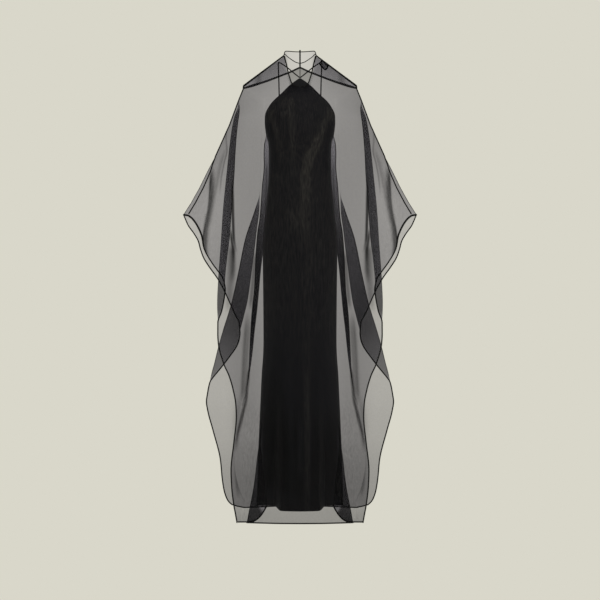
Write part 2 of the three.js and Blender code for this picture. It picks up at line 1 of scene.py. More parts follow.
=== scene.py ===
import math
import bpy
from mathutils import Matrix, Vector


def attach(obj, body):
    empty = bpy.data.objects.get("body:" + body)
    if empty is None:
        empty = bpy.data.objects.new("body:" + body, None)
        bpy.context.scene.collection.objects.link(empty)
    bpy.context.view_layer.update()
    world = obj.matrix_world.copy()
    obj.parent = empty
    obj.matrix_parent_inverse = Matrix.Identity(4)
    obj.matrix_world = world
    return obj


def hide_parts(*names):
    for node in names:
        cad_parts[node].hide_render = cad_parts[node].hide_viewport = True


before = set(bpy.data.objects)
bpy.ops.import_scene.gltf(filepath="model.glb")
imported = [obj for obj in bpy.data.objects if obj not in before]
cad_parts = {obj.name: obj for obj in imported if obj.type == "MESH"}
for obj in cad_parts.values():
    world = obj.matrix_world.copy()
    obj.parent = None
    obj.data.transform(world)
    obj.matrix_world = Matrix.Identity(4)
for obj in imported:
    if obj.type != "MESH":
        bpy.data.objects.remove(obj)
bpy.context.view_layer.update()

mm = 0.001

# ---------------------------------------------------------------- kaftan panels
# Front and back panel are each one wide width of black silk organza, cut with free cascade edges
# and joined only along the shoulders and sleeve tops. They hang from those seams in deep standing
# folds. Tables are in millimetres: a "drop" is a distance straight down from the shoulder points.
half_seam_gap = 0.6
neck_v_drop = 120
hem_drop = 1532
seam_spread = 60
layer_gap = 6
fold_relax = 60
fold_full_width = 16
hem_lift = 55
hem_lift_from = 1390
hem_curl = 2.5
seam = [[51.5, 2], [185.5, 103], [194, 123.5], [205, 151], [235, 232], [284.5, 342], [308.5, 388],
        [334.5, 441], [363, 492], [388, 531]]
shoulder_point = seam[1]
cuff_drop = seam[-1][1]
depth_at = [0, 60, 120, 180, 260, 390]
front_depth = [
    [0, 62, 58, 52, 46, 40, 40],
    [165, 113, 107, 91, 68, 50, 40],
    [300, 121, 116, 98, 74, 52, 42],
    [560, 126, 122, 108, 84, 60, 48],
    [815, 132, 129, 118, 98, 74, 60],
    [1150, 148, 146, 138, 124, 104, 90],
    [1532, 170, 168, 160, 150, 146, 140],
]
back_depth = [
    [0, 135, 130, 105, 80, 60, 50],
    [80, 110, 106, 92, 74, 56, 48],
    [165, 104, 100, 90, 72, 55, 46],
    [300, 103, 100, 90, 74, 56, 48],
    [560, 110, 108, 101, 86, 64, 52],
    [760, 125, 123, 116, 102, 78, 60],
    [1150, 150, 148, 142, 130, 108, 96],
    [1532, 205, 200, 186, 168, 158, 150],
]
neck_v = [[0, 53], [21, 48], [44, 43], [61, 40], [87, 33], [105, 27], [115, 18], [120, 0]]
inverted_v = [[28, 3], [42, 28], [62, 74], [86, 134], [103, 184]]
front_free_edge = [
    [531, 388], [534, 372], [555, 349], [580, 334], [604, 324], [642, 316], [662, 308], [692, 290],
    [722, 268], [746, 252], [782, 245], [794, 246], [850, 256], [889, 269], [925, 269], [957, 267],
    [1023, 249], [1062, 231], [1108, 217], [1153, 208.5], [1194, 206.5], [1275, 214], [1366, 223],
    [1415, 221], [1480, 213], [1500, 209], [1532, 203],
]
back_free_edge = [
    [531, 388], [564, 375], [592, 356], [618, 342], [642, 336], [671, 326], [701, 308], [744, 278],
    [785, 256], [830, 236], [863, 222], [894, 207.5], [926, 205], [950, 208], [970, 215],
    [1013, 244], [1034, 260], [1060, 281], [1082, 299], [1094, 306.5], [1139, 316], [1161, 319],
    [1196, 314], [1258, 298], [1364, 273], [1423, 268], [1467, 262], [1500, 252], [1521, 235],
    [1532, 195],
]
# Each fold has an outer and an inner turn. "packed" is how many plies deep its middle layer is
# gathered by drop, and "outer_line" and "inner_line" the same for its turns, which read as lines.
sleeve_fold = {
    "share": 1, "first": 2, "middle": 1, "last": 0, "edge_on_middle": 794, "edge_on_first": 889,
    "outer": [[151, 205], [162, 205], [213, 220], [267, 229], [385, 241], [525, 254], [627, 260],
              [746, 268], [825, 271], [889, 269]],
    "inner": [[151, 205], [180, 200], [235, 206], [296, 211], [353, 214], [394, 215.5], [433, 218],
              [466, 220.5], [547, 226], [620, 231.5], [667, 238], [769, 246], [794, 246]],
    "packed": [[200, 2.4], [300, 2.8], [400, 3.3], [500, 3.7], [600, 3.8], [700, 3.5], [889, 3.2]],
    "outer_line": [[0, 2.2]], "inner_line": [[151, 3.5], [480, 4.5], [560, 2.2]],
}
hem_fold = {
    "share": 0.55, "first": 0, "middle": -1, "last": -2,
    "outer": [[100, 118], [1200, 124], [1234, 128], [1282, 133], [1331, 139.6], [1373, 144],
              [1421, 150.5], [1459, 157.5], [1491, 164], [1532, 171.5]],
    "inner": [[100, 118], [1200, 124], [1282, 126], [1331, 122], [1400, 114], [1532, 107]],
    "packed": [[1200, 1.5], [1532, 2.0]], "outer_line": [[0, 2.2]], "inner_line": [[0, 1.2]],
}
lobe_fold = {
    "share": 0.75, "first": 2, "middle": 1, "last": 0, "edge_on_middle": 926, "edge_on_first": 1094,
    "outer": [[200, 130], [450, 137], [509, 154], [608, 187], [723, 211], [825, 234], [920, 263],
              [980, 280], [1035, 293.5], [1062, 301], [1094, 307.5]],
    "inner": [[200, 130], [450, 137], [512, 139], [579, 147.5], [645, 155], [703, 163], [818, 179],
              [868, 191], [926, 206]],
    "packed": [[450, 2.4], [560, 2.8], [900, 3.1], [970, 2.5], [1060, 2.1]],
    "outer_line": [[0, 2.4]], "inner_line": [[0, 2.0]],
}
# Below this the side fold's two turns have run together into one soft crease.
side_fold_end = [[1140, 186.5], [1156, 194], [1197, 204], [1237, 211], [1278, 220], [1319, 225],
                 [1370, 227], [1450, 215], [1532, 185]]
side_fold = {
    "share": 0.5, "first": 0, "middle": 1, "last": 2,
    "outer": [[250, 114], [261, 115.6], [288, 121.7], [322, 123.4], [356, 122.7], [390, 125],
              [424, 129], [475, 132.6], [543, 138.7], [577, 144.5], [611, 148], [645, 150.7],
              [686, 153], [781, 157.3], [828, 162.5], [869, 166.5], [917, 169.5], [986, 173],
              [1037, 175.5], [1089, 179.5]] + side_fold_end,
    "inner": [[250, 114], [288, 104], [400, 105], [516, 112], [577, 118], [645, 125.5], [720, 134.5],
              [781, 140], [849, 146.5], [917, 154.7], [986, 161.7], [1037, 168],
              [1089, 176.5]] + side_fold_end,
    "packed": [[300, 0.3], [338, 0.8], [400, 1.3], [461, 2.0], [501, 2.6], [560, 3.6], [640, 5.0],
               [760, 5.8], [900, 5.6], [980, 5.0], [1093, 4.4]],
    "outer_line": [[250, 5], [620, 5], [720, 3]], "inner_line": [[0, 1.6]],
}
# Where the turned-up corner of the hem fold is only loosely packed: [drop, half-width].
hem_corner = [[1440, 118], [1476, 135], [1501, 122], [1515, 118], [1532, 107]]
hem_corner_packed = 0.3
hem_corner_blur = 4
facing_end = 118
# How closely the cloth is gathered, as plies of flat organza: a row per drop, columns as in depth_at.
front_gather = [
    [0, 0.68, 0.68, 0.68, 0.68, 0.70, 0.70],
    [150, 0.76, 0.76, 0.78, 0.80, 0.82, 0.80],
    [300, 0.93, 0.93, 0.94, 0.94, 0.90, 0.88],
    [480, 1.00, 1.00, 1.00, 1.00, 0.80, 0.70],
    [620, 1.00, 1.00, 1.00, 1.00, 0.85, 0.75],
    [860, 1.00, 1.00, 1.00, 1.05, 1.05, 1.00],
    [1100, 1.05, 1.05, 1.05, 1.10, 1.15, 1.10],
    [1300, 1.00, 1.00, 1.00, 1.00, 1.10, 1.10],
    [1460, 1.05, 1.05, 1.05, 1.00, 1.10, 1.10],
    [1532, 1.10, 1.10, 1.10, 1.25, 1.30, 1.30],
]
back_gather = [
    [0, 0.68, 0.68, 0.68, 0.68, 0.70, 0.70],
    [150, 0.76, 0.76, 0.78, 0.80, 0.82, 0.80],
    [300, 0.93, 0.93, 0.94, 0.94, 0.90, 0.88],
    [480, 1.00, 1.00, 1.00, 1.00, 0.85, 0.70],
    [620, 1.00, 1.00, 1.00, 1.00, 1.00, 0.70],
    [900, 1.00, 1.00, 1.12, 1.20, 1.10, 1.05],
    [1180, 1.00, 1.00, 1.20, 1.35, 1.08, 1.08],
    [1300, 1.00, 1.00, 1.00, 1.05, 0.95, 0.95],
    [1532, 1.00, 1.00, 1.00, 1.00, 1.00, 1.00],
]
# Creases and soft streaks that run down the cloth. "path" is [drop, half-width], "reach" how far the
# streak spreads inwards and outwards, "rise" how far it stands out and "extra" the plies it adds;
# "fade" is the length over which it comes and goes, and "stretches" counts outwards between folds.
front_streaks = [
    {"path": [[365, 292], [400, 295], [473, 297], [513, 301], [552, 308], [592, 314], [640, 317],
              [680, 311]], "reach": (10, 4), "rise": 14, "extra": 3.2, "fade": (60, 20), "stretches": (2,)},
    {"path": [[290, 247], [302, 248], [355, 265], [431, 281], [514, 298], [600, 314]],
     "reach": (9, 7), "rise": -12, "extra": 0.6, "fade": (60, 60), "stretches": (2,)},
    {"path": [[225, 242], [270, 246], [320, 243], [360, 252], [420, 262], [480, 266]],
     "reach": (2, 3), "rise": -5, "extra": 0.9, "fade": (40, 60), "stretches": (2,)},
    {"path": [[400, 219], [446, 220.5], [506, 219.8], [567, 218.3], [612, 216.5], [643, 211.5],
              [664, 204]], "reach": (3.2, 3.2), "rise": 5, "extra": 5.5, "fade": (90, 60),
     "stretches": (1,)},
    {"path": [[575, 227], [619, 223], [658, 217], [710, 216]], "reach": (3, 3.5), "rise": 4,
     "extra": 4.6, "fade": (40, 80), "stretches": (1,)},
    {"path": [[630, 219], [700, 219], [770, 224]], "reach": (7, 7), "rise": 0,
     "extra": 2.5, "fade": (30, 60), "stretches": (1,)},
    {"path": [[620, 228], [740, 227], [800, 230], [870, 238]], "reach": (12, 12), "rise": 0,
     "extra": 1.3, "fade": (40, 60), "stretches": (1,)},
]
back_streaks = [
    {"path": [[340, 113], [400, 114], [475, 117], [540, 124]], "reach": (4, 3), "rise": 0,
     "extra": 1.2, "fade": (40, 60), "stretches": (1,)},
    {"path": [[840, 176], [900, 181], [1000, 188], [1120, 193], [1180, 199]],
     "reach": (11, 8), "rise": 8, "extra": 1.4, "fade": (90, 60), "stretches": (1,)},
    {"path": [[1040, 175], [1089, 178], [1115, 181], [1156, 184.5], [1197, 194], [1237, 204],
              [1278, 213.5], [1300, 216], [1350, 219]], "reach": (3.5, 4.5), "rise": 6, "extra": 3.6,
     "fade": (40, 110), "stretches": (0, 1)},
    {"path": [[640, 150], [700, 158], [760, 162], [860, 172]], "reach": (7, 7), "rise": 0,
     "extra": 1.7, "fade": (40, 50), "stretches": (1,)},
    {"path": [[1130, 202], [1197, 213], [1260, 221], [1320, 226]], "reach": (10, 11), "rise": 0,
     "extra": 0.55, "fade": (60, 110), "stretches": (1,)},
    {"path": [[1290, 220], [1400, 219], [1470, 214], [1510, 208]], "reach": (9, 6),
     "rise": 3, "extra": 0.8, "fade": (60, 60), "stretches": (1,)},
]


def along(keys, t):
    """Value at t on a smooth line through [t, value] keys that never overshoots them."""
    last = len(keys) - 1
    if t <= keys[0][0]:
        return keys[0][1]
    if t >= keys[last][0]:
        return keys[last][1]
    i = 0
    while keys[i + 1][0] < t:
        i += 1

    def rise(k):
        return (keys[k + 1][1] - keys[k][1]) / (keys[k + 1][0] - keys[k][0])

    def slope(k):
        if k == 0:
            return rise(0)
        if k == last:
            return rise(last - 1)
        before, after = rise(k - 1), rise(k)
        return 0 if before * after <= 0 else 2 * before * after / (before + after)

    step = keys[i + 1][0] - keys[i][0]
    s = (t - keys[i][0]) / step
    return (keys[i][1] * (1 + 2 * s) * (1 - s) ** 2 + step * slope(i) * s * (1 - s) ** 2
            + keys[i + 1][1] * s * s * (3 - 2 * s) - step * slope(i + 1) * s * s * (1 - s))


def blend(start, end, share):
    return start + (end - start) * share


def ease_step(start, end, t):
    """From 0 at the start to 1 at the end, with a soft beginning and a soft stop."""
    if start == end:
        return 0
    s = min(1, max(0, (t - start) / (end - start)))
    return s * s * (3 - 2 * s)


def seam_half_width(drop):
    """How far out the shoulder and sleeve-top seam lies at one level."""
    i = 0
    while seam[i + 1][1] < drop:
        i += 1
    return blend(seam[i][0], seam[i + 1][0], (drop - seam[i][1]) / (seam[i + 1][1] - seam[i][1]))


def seam_distance(x, drop):
    """How far a place on a panel is from the seam that holds it."""
    nearest = math.inf
    for (x0, d0), (x1, d1) in zip(seam, seam[1:]):
        run_x, run_d = x1 - x0, d1 - d0
        s = ((x - x0) * run_x + (drop - d0) * run_d) / (run_x * run_x + run_d * run_d)
        t = min(1, max(0, s))
        nearest = min(nearest, math.hypot(x - x0 - t * run_x, drop - d0 - t * run_d))
    return nearest


def streak_share(streak, x, drop):
    """How much of a streak is felt at a point, from 0 to 1."""
    start, end = streak["path"][0][0], streak["path"][-1][0]
    fade_in, fade_out = streak["fade"]
    shown = ease_step(start, start + fade_in, drop) * (1 - ease_step(end - fade_out, end, drop))
    if shown == 0:
        return 0
    off = x - along(streak["path"], drop)
    reach = streak["reach"][0] if off < 0 else streak["reach"][1]
    return shown * math.exp(-((off / reach) ** 2))


def streak_sum(streaks, what, stretch, x, drop):
    shares = (s[what] * streak_share(s, x, drop) for s in streaks if stretch in s["stretches"])
    return sum(shares)


def across_row(table, drop):
    """The keys of a table's row at any drop, one for each column."""
    return [[at, along([[row[0], row[c + 1]] for row in table], drop)] for c, at in enumerate(depth_at)]


def depth_line(panel, drop):
    """How far the panel stands off the seam plane along one level, as a function of half-width."""
    keys = across_row(panel["depth"], drop)

    def depth(x, stretch=None):
        parted = 1 - math.exp(-seam_distance(x, drop) / seam_spread)
        off = along(keys, x) + streak_sum(panel["streaks"], "rise", stretch, x, drop)
        return off * parted + half_seam_gap

    return depth


def front_outside(drop):
    return seam_half_width(drop) if drop < cuff_drop else along(front_free_edge, drop)


def back_outside(drop):
    if drop < shoulder_point[1]:
        return along(inverted_v, drop)
    return seam_half_width(drop) if drop < cuff_drop else along(back_free_edge, drop)


def hem_rise(x, fold, drop):
    """How far the corner of the front hem is turned up inside its fold."""
    if fold["outer"] <= fold["inner"]:
        return 0
    across = min(1, max(0, (fold["outer"] - x) / (fold["outer"] - fold["inner"])))
    return hem_lift * ease_step(hem_lift_from, hem_drop, drop) * across ** hem_curl


def corner_share(x, drop):
    """How much of a fold's packing is left in the loose corner at the front hem."""
    if drop < hem_corner[0][0]:
        return 1
    edge = along(hem_corner, drop)
    return blend(hem_corner_packed, 1, ease_step(edge - hem_corner_blur, edge + hem_corner_blur, x))


def back_facing(x, drop):
    """The back is faced, so it lies double, inside the open neck and below its bound edge."""
    return 1 if drop < facing_end and x < along(neck_v, drop) else 0


front_panel = {
    "away": -1, "depth": front_depth, "gather": front_gather, "streaks": front_streaks,
    "folds": [hem_fold, sleeve_fold], "columns": (22, 56, 48),
    "outside": front_outside, "inside": lambda drop: along(neck_v, drop), "rise": hem_rise,
    "corner": corner_share, "facing": lambda x, drop: 0,
}
back_panel = {
    "away": 1, "depth": back_depth, "gather": back_gather, "streaks": back_streaks,
    "folds": [side_fold, lobe_fold], "columns": (40, 40, 36),
    "outside": back_outside, "inside": lambda drop: 0, "rise": lambda x, fold, drop: 0,
    "corner": lambda x, drop: 1, "facing": back_facing,
}
middle_steps = 12
turn_steps = 6


def fold_at(fold, inside, edge, drop):
    """A fold's turns at one level, how far it is open there and which of its layers is the last."""
    above = drop < fold["outer"][0][0]
    limit = blend(inside, edge, fold["share"]) if above else math.inf
    outer = min(along(fold["outer"], drop), limit)
    inner = min(along(fold["inner"], drop), limit)
    layer = 2
    if drop >= fold.get("edge_on_middle", math.inf):
        layer = 1 if drop < fold["edge_on_first"] else 0
    if layer == 1:
        inner = edge
    if layer == 0:
        outer = inner = edge
    opened = min(1, max(0, (outer - inner) / fold_full_width))
    turn = layer_gap * opened / 2
    plies = {part: blend(1, along(fold[part], drop), opened)
             for part in ("packed", "outer_line", "inner_line")}
    return {**fold, "outer": outer, "inner": inner, "layer": layer, "gap": layer_gap * opened,
            "turn": turn, "last_turn": min(turn, max(0, edge - inner)), "plies": plies}


def stand_off(x, fold, which):
    """How far one layer of a fold stands off its panel, which wears off beyond the fold's turns."""
    past = fold["inner"] - x if which == "first" else x - fold["outer"]
    relaxed = math.exp(-((past / fold_relax) ** 2)) if past > 0 else 1
    return fold["gap"] * fold[which] * relaxed


def panel_section(panel, drop):
    """Points across half a panel at one level, from the inner edge through two Z folds outwards.
    Each is a place and the plies of cloth gathered there."""
    inside, edge = panel["inside"](drop), panel["outside"](drop)
    depth = depth_line(panel, drop)
    gathers = across_row(panel["gather"], drop)
    folds = [fold_at(fold, inside, edge, drop) for fold in panel["folds"]]
    points = []

    def put(x, off, rise=0, stretch=None, packed=1.0):
        y = panel["away"] * max(half_seam_gap, depth(x, stretch) + off)
        plies = along(gathers, x) * packed + streak_sum(panel["streaks"], "extra", stretch, x, drop)
        points.append((x * mm, y * mm, (rise - drop) * mm, plies + panel["facing"](x, drop)))

    def turn(centre, reach, fold, upper, lower, line, rise):
        """Half a circle of cloth from one layer of a fold to the next."""
        for i in range(1, turn_steps):
            angle = math.pi * i / turn_steps
            x = centre + reach * math.sin(angle)
            off = fold["gap"] * blend(fold[upper], fold[lower], (1 - math.cos(angle)) / 2)
            packed = fold["plies"][line] * panel["corner"](x, drop - rise(x))
            put(x, off, rise(x), packed=packed)

    start, before = inside, None
    for number, fold in enumerate(folds):
        stop = fold["outer"] - fold["turn"]
        columns = panel["columns"][number]
        for i in range(columns + 1):
            x = blend(start, stop, i / columns)
            off = stand_off(x, fold, "first")
            if before:
                off += stand_off(x, before, "last")
            rise = panel["rise"](x, before, drop) if before else 0
            packed = panel["corner"](x, drop - rise) if before else 1
            put(x, off, rise, number, packed)
        rise = (lambda x, fold=fold: panel["rise"](x, fold, drop)) if not before else (lambda x: 0)
        turn(stop, fold["turn"], fold, "first", "middle", "outer_line", rise)
        back_stop = fold["inner"] + fold["last_turn"]
        for i in range(middle_steps + 1):
            x = blend(stop, back_stop, i / middle_steps)
            packed = fold["plies"]["packed"] * panel["corner"](x, drop - rise(x))
            put(x, fold["gap"] * fold["middle"], rise(x), packed=packed)
        if fold["layer"] == 2:
            turn(back_stop, -fold["last_turn"], fold, "middle", "last", "inner_line", rise)
            start = back_stop
        else:
            points.extend([points[-1]] * (turn_steps - 1))
            start = fold["inner"]
        before = fold
    columns = panel["columns"][2]
    for i in range(columns + 1):
        if before["layer"] == 2:
            x = blend(start, edge, i / columns)
            put(x, stand_off(x, before, "last"), stretch=2)
        else:
            points.append(points[-1])
    return points


def new_piece(name, vertices, faces, is_smooth=lambda face: True):
    mesh = bpy.data.meshes.new(name)
    mesh.from_pydata(vertices, [], faces)
    mesh.polygons.foreach_set("use_smooth", [is_smooth(face) for face in faces])
    piece = bpy.data.objects.new(name, mesh)
    bpy.context.collection.objects.link(piece)
    return piece


def keep_values(piece, name, values):
    """Writes a value for each of a piece's points, for its material to read."""
    kept = piece.data.attributes.new(name, "FLOAT", "POINT")
    kept.data.foreach_set("value", values)


def dress(piece, material, node=None):
    """Gives a piece its finish, sets it on the body and hides the plain solid it stands for, when one is
    named.
    """
    piece.data.materials.append(material)
    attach(piece, "root")
    if node:
        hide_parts(node)


def cloth_mesh(name, sections, both_sides=True, value_name="gather", weld=0.00002):
    """One open sheet of cloth through its sections, mirrored to the other side if asked. Each point
    is a place and a value, which the sheet keeps for its material."""
    places, vertices, values, faces = {}, [], [], []

    def index_of(side, point):
        x, y, z, value = point
        key = (round(side * x / weld), round(y / weld), round(z / weld))
        if key not in places:
            places[key] = len(vertices)
            vertices.append((side * x, y, z))
            values.append(value)
        return places[key]

    for side in (1, -1) if both_sides else (1,):
        for upper, lower in zip(sections, sections[1:]):
            for c in range(len(upper) - 1):
                corners = [upper[c], upper[c + 1], lower[c + 1], lower[c]]
                ring = []
                for point in corners[::side]:
                    i = index_of(side, point)
                    if i not in ring:
                        ring.append(i)
                if len(ring) > 2:
                    faces.append(ring)
    sheet = new_piece(name, vertices, faces)
    keep_values(sheet, value_name, values)
    return sheet


def tape(name, path, half_width, half_thickness=None, sides=12):
    """A closed cord or folded tape along a path of points in metres, its width facing the front.
    Half-widths may be one size or one for each point."""
    centres = [Vector(p) for p in path]
    widths = half_width if isinstance(half_width, list) else [half_width] * len(centres)
    vertices, faces = [], []
    for i, (centre, width) in enumerate(zip(centres, widths)):
        run = (centres[min(i + 1, len(centres) - 1)] - centres[max(i - 1, 0)]).normalized()
        lead = Vector((1, 0, 0)) if abs(run.y) > 0.9 else Vector((0, 1, 0))
        side = run.cross(lead).normalized()
        up = run.cross(side)
        thick = width if half_thickness is None else half_thickness
        for k in range(sides):
            turn = 2 * math.pi * k / sides
            vertices.append(centre + side * (width * math.cos(turn)) + up * (thick * math.sin(turn)))
    for i in range(len(centres) - 1):
        for k in range(sides):
            a, b = i * sides + k, i * sides + (k + 1) % sides
            faces.append((a, b, b + sides, a + sides))
    faces.append(tuple(reversed(range(sides))))
    faces.append(tuple(range(len(vertices) - sides, len(vertices))))
    return new_piece(name, [tuple(v) for v in vertices], faces, lambda face: len(face) == 4)


def new_group(name, inputs, outputs):
    group = bpy.data.node_groups.new(name, "ShaderNodeTree")
    for label, value in inputs.items():
        socket = group.interface.new_socket(label, in_out="INPUT", socket_type="NodeSocketFloat")
        socket.default_value = value
    for label in outputs:
        group.interface.new_socket(label, in_out="OUTPUT", socket_type="NodeSocketFloat")
    return group, group.nodes.new("NodeGroupInput"), group.nodes.new("NodeGroupOutput")


def joined(tree, operation, first, second=None):
    """A math node on two sockets or numbers; returns its result socket."""
    node = tree.nodes.new("ShaderNodeMath")
    node.operation = operation
    for slot_number, value in enumerate((first, second)):
        if value is None:
            continue
        if isinstance(value, (int, float)):
            node.inputs[slot_number].default_value = value
        else:
            tree.links.new(value, node.inputs[slot_number])
    return node.outputs[0]


# Plain weave seen as a density: threads both ways, and slubs where a thread runs thicker.
weave, weave_in, weave_out = new_group(
    "plain_weave", {"Thread spacing": 1.1, "Thread contrast": 0.08, "Slub": 0.28}, ["Threads"])
coordinates = weave.nodes.new("ShaderNodeTexCoord")
split = weave.nodes.new("ShaderNodeSeparateXYZ")
weave.links.new(coordinates.outputs["Object"], split.inputs[0])
per_metre = joined(weave, "DIVIDE", 2 * math.pi / mm, weave_in.outputs["Thread spacing"])
warp = joined(weave, "SINE", joined(weave, "MULTIPLY", split.outputs["X"], per_metre))
weft = joined(weave, "SINE", joined(weave, "MULTIPLY", split.outputs["Z"], per_metre))
threads = joined(weave, "MULTIPLY", joined(weave, "ADD", warp, weft), weave_in.outputs["Thread contrast"])
slubs = weave.nodes.new("ShaderNodeTexNoise")
slubs.inputs["Scale"].default_value = 260
slubs.inputs["Detail"].default_value = 3
weave.links.new(coordinates.outputs["Object"], slubs.inputs["Vector"])
slub = joined(weave, "MULTIPLY", joined(weave, "SUBTRACT", slubs.outputs[0], 0.5), weave_in.outputs["Slub"])
weave.links.new(joined(weave, "ADD", joined(weave, "ADD", threads, slub), 1.0), weave_out.inputs["Threads"])


# Fine crinkles left in the cloth of the sleeves and towards the hems, where nothing pulls it flat.
crinkle, crinkle_in, crinkle_out = new_group("crinkle", {"Amount": 0.55}, ["Crinkle"])
coordinates = crinkle.nodes.new("ShaderNodeTexCoord")
split = crinkle.nodes.new("ShaderNodeSeparateXYZ")
crinkle.links.new(coordinates.outputs["Object"], split.inputs[0])
slanted = crinkle.nodes.new("ShaderNodeMapping")
slanted.inputs["Rotation"].default_value = (0, 0.5, 0)
slanted.inputs["Scale"].default_value = (1, 1, 0.35)
crinkle.links.new(coordinates.outputs["Object"], slanted.inputs["Vector"])
creased = crinkle.nodes.new("ShaderNodeTexNoise")
creased.inputs["Scale"].default_value = 190
creased.inputs["Detail"].default_value = 3
crinkle.links.new(slanted.outputs[0], creased.inputs["Vector"])
half_across = joined(crinkle, "ABSOLUTE", split.outputs["X"])
drop_here = joined(crinkle, "MULTIPLY", split.outputs["Z"], -1.0)
# Where the crinkles set in, in metres: from none to full.
sleeve_outwards, sleeve_upwards = (0.262, 0.28), (0.9, 0.75)
side_inwards, side_outwards = (0.21, 0.185), (0.115, 0.13)
hem_downwards = (1.08, 1.24)


def rising(source, start, end):
    """A mask that goes from 0 at the start to 1 at the end."""
    spread = crinkle.nodes.new("ShaderNodeMapRange")
    spread.inputs["From Min"].default_value = start
    spread.inputs["From Max"].default_value = end
    crinkle.links.new(source, spread.inputs["Value"])
    return spread.outputs[0]


slack_sleeve = joined(crinkle, "MULTIPLY", rising(half_across, *sleeve_outwards),
                      rising(drop_here, *sleeve_upwards))
slack_side = joined(crinkle, "MULTIPLY", rising(half_across, *side_inwards),
                    rising(half_across, *side_outwards))
slack_hem = joined(crinkle, "MULTIPLY", slack_side, rising(drop_here, *hem_downwards))
amount = joined(crinkle, "MULTIPLY", joined(crinkle, "MAXIMUM", slack_sleeve, slack_hem),
                crinkle_in.outputs["Amount"])
ups_and_downs = joined(crinkle, "MULTIPLY", joined(crinkle, "SUBTRACT", creased.outputs[0], 0.5), amount)
crinkle.links.new(joined(crinkle, "ADD", ups_and_downs, 1.0), crinkle_out.inputs["Crinkle"])


organza_black = (0.0068, 0.0068, 0.0074)
denser_from, denser_to = -1.10, -1.48
least_square_on = 0.3


def sheer_material(name, flat_density, hem_density, tint):
    """Sheer cloth: what gets through falls with the plies gathered at each point, with the weave and
    with the slant of the cloth, and is tinted a little by the dye."""
    material = bpy.data.materials.new(name)
    material.use_nodes = True
    tree = material.node_tree
    shader = tree.nodes["Principled BSDF"]
    shader.inputs["Base Color"].default_value = (*organza_black, 1)
    shader.inputs["Roughness"].default_value = 0.8
    shader.inputs["Specular IOR Level"].default_value = 0.06
    threads_here = tree.nodes.new("ShaderNodeGroup")
    threads_here.node_tree = weave
    place = tree.nodes.new("ShaderNodeTexCoord")
    height = tree.nodes.new("ShaderNodeSeparateXYZ")
    tree.links.new(place.outputs["Object"], height.inputs[0])
    towards_hem = tree.nodes.new("ShaderNodeMapRange")
    towards_hem.interpolation_type = "SMOOTHSTEP"
    towards_hem.inputs["From Min"].default_value = denser_from
    towards_hem.inputs["From Max"].default_value = denser_to
    towards_hem.inputs["To Min"].default_value = flat_density
    towards_hem.inputs["To Max"].default_value = hem_density
    tree.links.new(height.outputs["Z"], towards_hem.inputs["Value"])
    gathered = tree.nodes.new("ShaderNodeAttribute")
    gathered.attribute_name = "gather"
    plies = joined(tree, "MULTIPLY", towards_hem.outputs[0], gathered.outputs["Fac"])
    creases_here = tree.nodes.new("ShaderNodeGroup")
    creases_here.node_tree = crinkle
    grain = joined(tree, "MULTIPLY", threads_here.outputs["Threads"], creases_here.outputs["Crinkle"])
    density = joined(tree, "MULTIPLY", plies, grain)
    facing = tree.nodes.new("ShaderNodeLayerWeight")
    facing.inputs["Blend"].default_value = 0.5
    square_on = joined(tree, "SUBTRACT", 1.0, facing.outputs["Facing"])
    square_on = joined(tree, "MAXIMUM", square_on, least_square_on)
    passed = joined(tree, "POWER", math.exp(-1), joined(tree, "DIVIDE", density, square_on))
    clear = tree.nodes.new("ShaderNodeBsdfTransparent")
    clear.inputs["Color"].default_value = (*tint, 1)
    mixed = tree.nodes.new("ShaderNodeMixShader")
    tree.links.new(passed, mixed.inputs["Fac"])
    tree.links.new(shader.outputs[0], mixed.inputs[1])
    tree.links.new(clear.outputs[0], mixed.inputs[2])
    tree.links.new(mixed.outputs[0], tree.nodes["Material Output"].inputs["Surface"])
    return material


organza = sheer_material("organza", flat_density=0.45, hem_density=0.785, tint=(0.957, 0.952, 1.0))

# Rows of the sheets: evenly spaced, and one at each level where an edge or a fold turns or ends.
row_spacing = 6
last_row_gap = 4
front_turns = {4, 110, neck_v_drop, 151, cuff_drop, 534, 794, 889, 1200, hem_drop}
back_turns = {28, 103, facing_end, 250, 450, cuff_drop, 926, 1094, hem_drop}
front_rows = sorted(front_turns | set(range(8, hem_drop - last_row_gap, row_spacing)))
back_rows = sorted(back_turns | set(range(33, hem_drop - last_row_gap, row_spacing)))
front_sections = [panel_section(front_panel, drop) for drop in front_rows]
back_sections = [panel_section(back_panel, drop) for drop in back_rows]
front = cloth_mesh("organza_front_panel", front_sections)
back = cloth_mesh("organza_back_panel", back_sections)
dress(front, organza, "kaftan_front")
dress(back, organza, "kaftan_back")

# ---------------------------------------------------------------- rolled edges and sleeve seams
# The free edges and hems are hand-rolled: a tight roll of organza about 4 mm thick, thicker at the
# sleeve ends, that shows as a dark line. The sleeve tops are closed with a narrow French seam, which
# rolls over to the front towards the cuff, and a finer fold is left along the very top.
front_roll_radius = [[531, 3.2], [610, 3.0], [660, 2.2]]
back_roll_radius = [[531, 2.0], [700, 2.2]]
seam_radius = 2.1 * mm
crest_radius = 0.9 * mm
seam_rolled_forward = [[335, 0], [365, 5], [392, 10.5], [531, 16.5]]
seam_stand_off = 1
seam_end_gap = 2
seam_steps = 79
least_point_gap = 3 * mm


